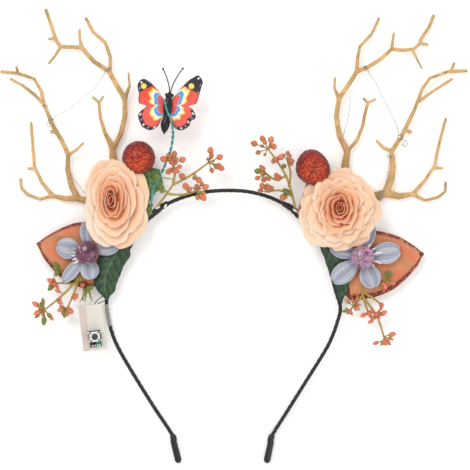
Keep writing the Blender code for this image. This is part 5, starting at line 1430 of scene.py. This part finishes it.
def print_colour(spot, along, edge):
    """The wings' printed colour at a spot from the body, and a distance inside the rim."""
    mirrored = Vector((abs(spot.x), spot.y))
    heading = atan2(mirrored.y, mirrored.x)
    crest = PRINT_CREAM + PRINT_SCALLOP * abs(sin(heading * PRINT_WAVES))
    tone = mix(WING_CORAL, WING_SCARLET, ease(spot.y, -2.0, 7.0))
    tone = mix(WING_YELLOW, tone, ease(along, crest + 0.02, crest + 0.06))
    tone = mix(WING_CREAM, tone, ease(along, crest - 0.05, crest - 0.01))
    tone = mix(WING_BLUE, tone, ease(along, PRINT_BLUE - 0.01, PRINT_BLUE + 0.01))
    tone = mix(WING_PALE, tone, ease(along, PRINT_CORE, PRINT_CORE + 0.02))
    tone = mix(WING_CORAL, tone, ease(along, PRINT_CORE - 0.015, PRINT_CORE + 0.005))
    tip = Vector(PRINT_TIP_SLANT).dot(mirrored - Vector(PRINT_TIP))
    tone = mix(tone, WING_DARK, ease(tip, 0.0, 0.3))
    dotted = tip > PRINT_DOT_RADIUS
    if spot.y < PRINT_BORDER_TOP:
        tone = mix(WING_DARK, tone, ease(edge, PRINT_BORDER - 0.25, PRINT_BORDER + 0.1))
        dotted = True
    tone = mix(WING_DARK, tone, ease(edge, PRINT_MARGIN - 0.15, PRINT_MARGIN + 0.1))
    spacing = radians(PRINT_DOT_STEP)
    number = round(heading / spacing)
    aside = (heading - number * spacing) * spot.length
    dot = 1 - hypot(aside, edge - PRINT_DOT_INSET) / PRINT_DOT_RADIUS
    if dotted and dot > -0.05:
        tone = mix(tone, WING_VIOLET if number % 2 else WING_CREAM, ease(dot, -0.05, 0.22))
    round_spot = 1 - (mirrored - Vector(PRINT_TIP_SPOT)).length / PRINT_TIP_SPOT_RADIUS
    return mix(tone, WING_YELLOW, ease(round_spot, -0.05, 0.1))


def build_butterfly():
    """The butterfly: printed wings, velvety body with feelers, and its twisted wire."""
    printed = surface("wing_print", None, grain=900.0, vary=0.03, bump=0.2, bump_grain=2400.0,
                      bump_depth=0.00006, Roughness=0.42, Coat_Weight=0.15)
    velvet = surface("body_velvet", ((3, 3, 4), (12, 11, 13)), grain=1400.0, vary=0.2,
                     bump=0.5, bump_grain=3200.0, bump_depth=0.00008, Roughness=0.38)
    hub = Vector(WING_CENTRE)
    parts = []
    for outline in WING_OUTLINES:
        rough = [Vector((cos(radians(a)) * r, sin(radians(a)) * r, 0))
                 for a, r in outline[1:-1]]
        rim = smooth_line(rough, WING_STEP)
        spokes = len(rim) - 1

        def place(across, along):
            edge_point = rim[round(across * spokes)]
            spot = (edge_point * (0.04 + 0.96 * along)).xy
            edge = edge_point.length * 0.96 * (1 - along)
            height = (WING_UNDERSIDE_Z + WING_SHEET + 0.15 + WING_RISE * abs(spot.x)
                      + 0.22 * sin(spot.x * 0.5) * sin(spot.y * 0.45 + 1.0))
            return (Vector((hub.x + spot.x, hub.y + spot.y, height)),
                    print_colour(spot, along, edge))

        parts.append(grid(spokes, WING_RINGS, place))
    make("wings_printed", parts, printed, ["butterfly_wings"], WING_SHEET)
    points = traced(BODY_POINTS, 0.25)

    def trunk(share, angle, _):
        return column_at(BODY_RADII, share, 1) * (1 - 0.22 * sin(angle) ** 2)

    parts = [tube(points, trunk, 28, steady(VELVET_BLACK))]
    for x, y in BODY_EYES:
        parts.append(ball(on_photo(x, y, 16.6), (1.25, 1.15, 1.1), 20, 12,
                          steady(VELVET_BLACK)))
    for feeler in FEELERS:
        points = traced(feeler, 0.4)
        parts.append(tube(points, steady(0.32), 10, steady(VELVET_BLACK)))
        parts.append(ball(points[-1], (0.62, 0.62, 0.5), 14, 8, steady(VELVET_BLACK)))
    make("butterfly_body_velvet", parts, velvet, ["butterfly_body"])
    coated = surface("wire_teal", ((30, 108, 112), (62, 158, 156), (120, 200, 196)),
                     grain=600.0, vary=0.15, bump=0.2, bump_grain=3000.0, Roughness=0.3,
                     Metallic=0.35, Coat_Weight=0.3)
    line = [Vector((*WIRE_START, WIRE_START_Z))]
    for length, turn_in, turn_out, height in WIRE_SECTIONS:
        flat = arc_points(line[-1].xy, length, turn_in, turn_out, 3)
        low = line[-1].z
        line += [Vector((spot.x, spot.y, low + (height - low) * number / 3))
                 for number, spot in enumerate(flat[1:], 1)]
    line = [spot for spot in line if spot.y < WIRE_TURN_Y]
    line = smooth_line(line + [on_photo(*point) for point in WIRE_OVER_BODY], 0.3)
    turns = frames(line)
    strands = []
    for phase in (0.0, pi):
        strand = []
        distance = 0.0
        for index, (point, (_, aside, upward)) in enumerate(zip(line, turns)):
            if index:
                distance += (point - line[index - 1]).length
            share = index / (len(line) - 1)
            apart = TWIST_APART + 0.12 * ease(share, 0.25, 0.4) * (1 - ease(share, 0.68, 0.78))
            angle = distance / TWIST_PITCH * 2 * pi + phase
            strand.append(point + (aside * cos(angle) + upward * sin(angle)) * apart)
        strands.append(tube(strand, steady(WIRE_STRAND_RADIUS), 10, steady(WIRE_TEAL)))
    make("wire_twisted", strands, coated, ["butterfly_wire"])


def build_lights_on_wire():
    """The thin light wires strung over the antlers, with their small lamps."""
    wire = surface("light_wire", ((120, 116, 112), (176, 172, 166)), grain=900.0, vary=0.1,
                   bump=0.1, Roughness=0.35, Metallic=0.7)
    lamp = surface("lamp_clear", ((232, 224, 196), (250, 246, 228)), grain=900.0, vary=0.05,
                   bump=0.2, Roughness=0.15, Coat_Weight=0.8)
    strands = []
    lamps = []
    for points, lamp_numbers in LIGHT_WIRES:
        spots = [on_photo(*point) for point in points]
        line = smooth_line(spots, 0.5)
        strands.append(tube(line, steady(LIGHT_WIRE_RADIUS), 8, steady(WIRE_GREY)))
        for number in lamp_numbers:
            along = spots[min(number + 1, len(spots) - 1)] - spots[max(number - 1, 0)]
            turn = along.to_track_quat("X", "Z").to_matrix()
            lamps.append(ball(spots[number], LAMP_HALF, 16, 10, steady(LAMP_CREAM), turn))
    for x, y, height, heading, radius, turns in WIRE_TURNS:
        middle = on_photo(x, y, height)
        along, aside = axes(heading)
        line = []
        steps = round(turns * 18)
        for step in range(steps + 1):
            angle = 2 * pi * turns * step / steps + 0.6
            line.append(middle + along * (step / steps - 0.5) * turns * 1.1
                        + (aside * cos(angle) + UP * sin(angle)) * radius)
        strands.append(tube(line, steady(LIGHT_WIRE_RADIUS), 8, steady(WIRE_GREY)))
    make("light_wire", strands, wire)
    make("light_lamps", lamps, lamp)


def box_place(x, y, height):
    """A point on the battery box, from its own middle and turned with it."""
    spot = Matrix.Rotation(radians(BOX_TURN), 2) @ Vector((x, y))
    return Vector((BOX_CENTRE[0] + spot.x, BOX_CENTRE[1] + spot.y, height))


def block(x, y, half_x, half_y, low, high, colour):
    """A small block on the battery box."""
    corners = ((-half_x, -half_y), (half_x, -half_y), (half_x, half_y), (-half_x, half_y))
    points = [box_place(x + dx, y + dy, level) for level in (low, high) for dx, dy in corners]
    faces = [(3, 2, 1, 0), (4, 5, 6, 7), (0, 1, 5, 4), (1, 2, 6, 5), (2, 3, 7, 6), (3, 0, 4, 7)]
    return points, faces, [colour] * 8


def edged(name, part, width, finish, replaces):
    """A piece from one block with rounded edges."""
    made = make(name, [part], finish, replaces, flat=True)
    soft = made.modifiers.new("soft", "BEVEL")
    soft.width = width * MM
    soft.segments = 3
    return made


def build_box():
    """The battery box with its lid, its push switch and its leads."""
    beige = surface("box_beige", ((222, 212, 196), (236, 228, 214), (228, 214, 198)),
                    grain=160.0, vary=0.05, bump=0.25, bump_grain=2200.0, bump_depth=0.00008,
                    Roughness=0.4, Coat_Weight=0.25)
    lid = surface("box_lid_beige", None, grain=160.0, vary=0.04, bump=0.3, bump_grain=1900.0,
                  bump_depth=0.00008, Roughness=0.38, Coat_Weight=0.3)
    metal = surface("plate_metal", ((236, 237, 238), (252, 252, 252)), grain=900.0, vary=0.04,
                    bump=0.12, bump_grain=4000.0, stretch=(0.2, 1.0, 1.0), Roughness=0.32,
                    Metallic=0.12)
    black = surface("switch_black", ((20, 20, 22), (36, 36, 38)), grain=900.0, vary=0.1,
                    bump=0.25, bump_grain=3000.0, Roughness=0.45)
    made = add_object("box_moulded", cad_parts["battery_box"].data.copy())
    weld = made.modifiers.new("weld", "WELD")
    weld.merge_threshold = 0.00001
    flat = made.modifiers.new("flat", "DECIMATE")
    flat.decimate_type = "DISSOLVE"
    flat.angle_limit = radians(2)
    soft = made.modifiers.new("soft", "BEVEL")
    soft.width = BOX_EDGE * MM
    soft.segments = 4
    soft.limit_method = "ANGLE"
    soft.angle_limit = radians(25)
    made.data.materials.clear()
    made.data.materials.append(beige)
    enlist(made, ["battery_box"])
    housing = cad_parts["switch_housing"].data.materials
    housing.clear()
    housing.append(black)
    middle = Matrix.Rotation(radians(-BOX_TURN), 2) @ (Vector(SWITCH_CENTRE)
                                                       - Vector(BOX_CENTRE))
    build_plate(middle, metal)
    for name, sizes, colour, width in BOX_LIDS:
        edged(name, block(*sizes, colour), width, lid, ())
    build_switch(middle, metal, black)
    leads = [tube(traced(points, 0.5), steady(LEAD_RADIUS), 10, steady(LEAD_GREY))
             for points in BOX_LEADS]
    make("box_leads", leads, black)


def build_plate(middle, metal):
    """The circuit board and the switch's bright plate."""
    board = surface("board_green", None, grain=700.0, vary=0.12, bump=0.3, Roughness=0.35)
    make("circuit_board_etched",
         [block(middle.x + x, middle.y + y, half_x, half_y, *BOARD_Z, colour)
          for x, y, half_x, half_y, colour in BOARD_BLOCKS],
         board, ["circuit_board"], flat=True)
    edged("switch_plate_bright", block(*middle, PLATE_HALF, PLATE_HALF, *PLATE_Z, PLATE_WHITE),
          PLATE_EDGE, metal, ["switch_plate"])


def build_switch(middle, metal, black):
    """The switch's rivets, its push button, and its solder legs."""
    corners = [(sign_x, sign_y) for sign_x in (-1, 1) for sign_y in (-1, 1)]
    rivets = [ball(box_place(middle.x + sign_x * RIVET_OUT, middle.y + sign_y * RIVET_OUT,
                             PLATE_Z[1]), RIVET_HALF, 14, 8, steady(RIVET_BLACK))
              for sign_x, sign_y in corners]
    make("plate_rivets", rivets, black)
    make("button_domed", [revolve(SWITCH_CENTRE, BUTTON_PROFILE, 40, BUTTON_GREY)],
         surface("button_grey", ((46, 46, 48), (72, 72, 74)), grain=900.0, vary=0.08,
                 bump=0.25, bump_grain=3000.0, Roughness=0.42),
         ["switch_button"], body="push_button")
    legs = []
    for sign_x, sign_y in corners:
        y = middle.y + sign_y * LEG_OUT[1]
        legs.append(block(middle.x + sign_x * LEG_OUT[0], y, *LEG_HALF, *LEG_Z, LEG_GREY))
        legs.append(block(middle.x + sign_x * FOOT_OUT, y, *FOOT_HALF, *FOOT_Z, LEG_GREY))
    for x in PADS_X:
        legs.append(block(middle.x + x, middle.y + PADS_Y, *PAD_HALF, *PADS_Z, PAD_GREY))
    make("switch_legs", legs, metal, flat=True)


def build_stage():
    """Pale floor, soft studio lights, and the camera straight over the headband."""
    scene = bpy.context.scene
    mesh = bpy.data.meshes.new("floor")
    half = FLOOR_HALF
    mesh.from_pydata([(-half, -half, FLOOR_Z), (half, -half, FLOOR_Z), (half, half, FLOOR_Z),
                      (-half, half, FLOOR_Z)], [], [(0, 1, 2, 3)])
    floor = add_object("floor", mesh)
    mesh.materials.append(surface("floor_pale", ((246, 246, 245), (250, 250, 249)), grain=3.0,
                                  vary=0.01, bump=0.0, Roughness=0.9,
                                  Emission_Color=(1.0, 1.0, 1.0, 1.0),
                                  Emission_Strength=0.22))
    world = bpy.data.worlds.new("studio")
    world.use_nodes = True
    background = world.node_tree.nodes["Background"]
    background.inputs["Color"].default_value = (1.0, 1.0, 1.0, 1.0)
    background.inputs["Strength"].default_value = WORLD_STRENGTH
    scene.world = world
    for name, place, size, power in LAMPS:
        data = bpy.data.lights.new(name, "AREA")
        data.shape = "DISK"
        data.size = size
        data.energy = power
        light = add_object(name, data)
        light.location = place
        light.rotation_mode = "QUATERNION"
        light.rotation_quaternion = (-Vector(place)).to_track_quat("-Z", "Y")
    data = bpy.data.cameras.new("camera")
    data.sensor_width = 36.0
    data.lens = 36.0 * CAMERA_REACH / (PHOTO_SIZE * PIXEL * MM)
    data.clip_end = 20.0
    camera = add_object("camera", data)
    aim = on_photo(PHOTO_SIZE / 2, PHOTO_SIZE / 2, CAMERA_LEVEL) + SHIFT
    camera.location = (aim.x * MM, aim.y * MM, aim.z * MM + CAMERA_REACH)
    camera.rotation_euler = (0.0, 0.0, 0.0)
    scene.camera = camera
    scene.view_settings.view_transform = "Standard"
    scene.view_settings.look = "None"


def main():
    """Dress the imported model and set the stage."""
    build_stage()
    build_hoop()
    build_antlers()
    build_roses()
    build_pods()
    build_ears()
    build_flowers()
    build_leaves()
    build_sprays()
    build_butterfly()
    build_lights_on_wire()
    build_box()


main()
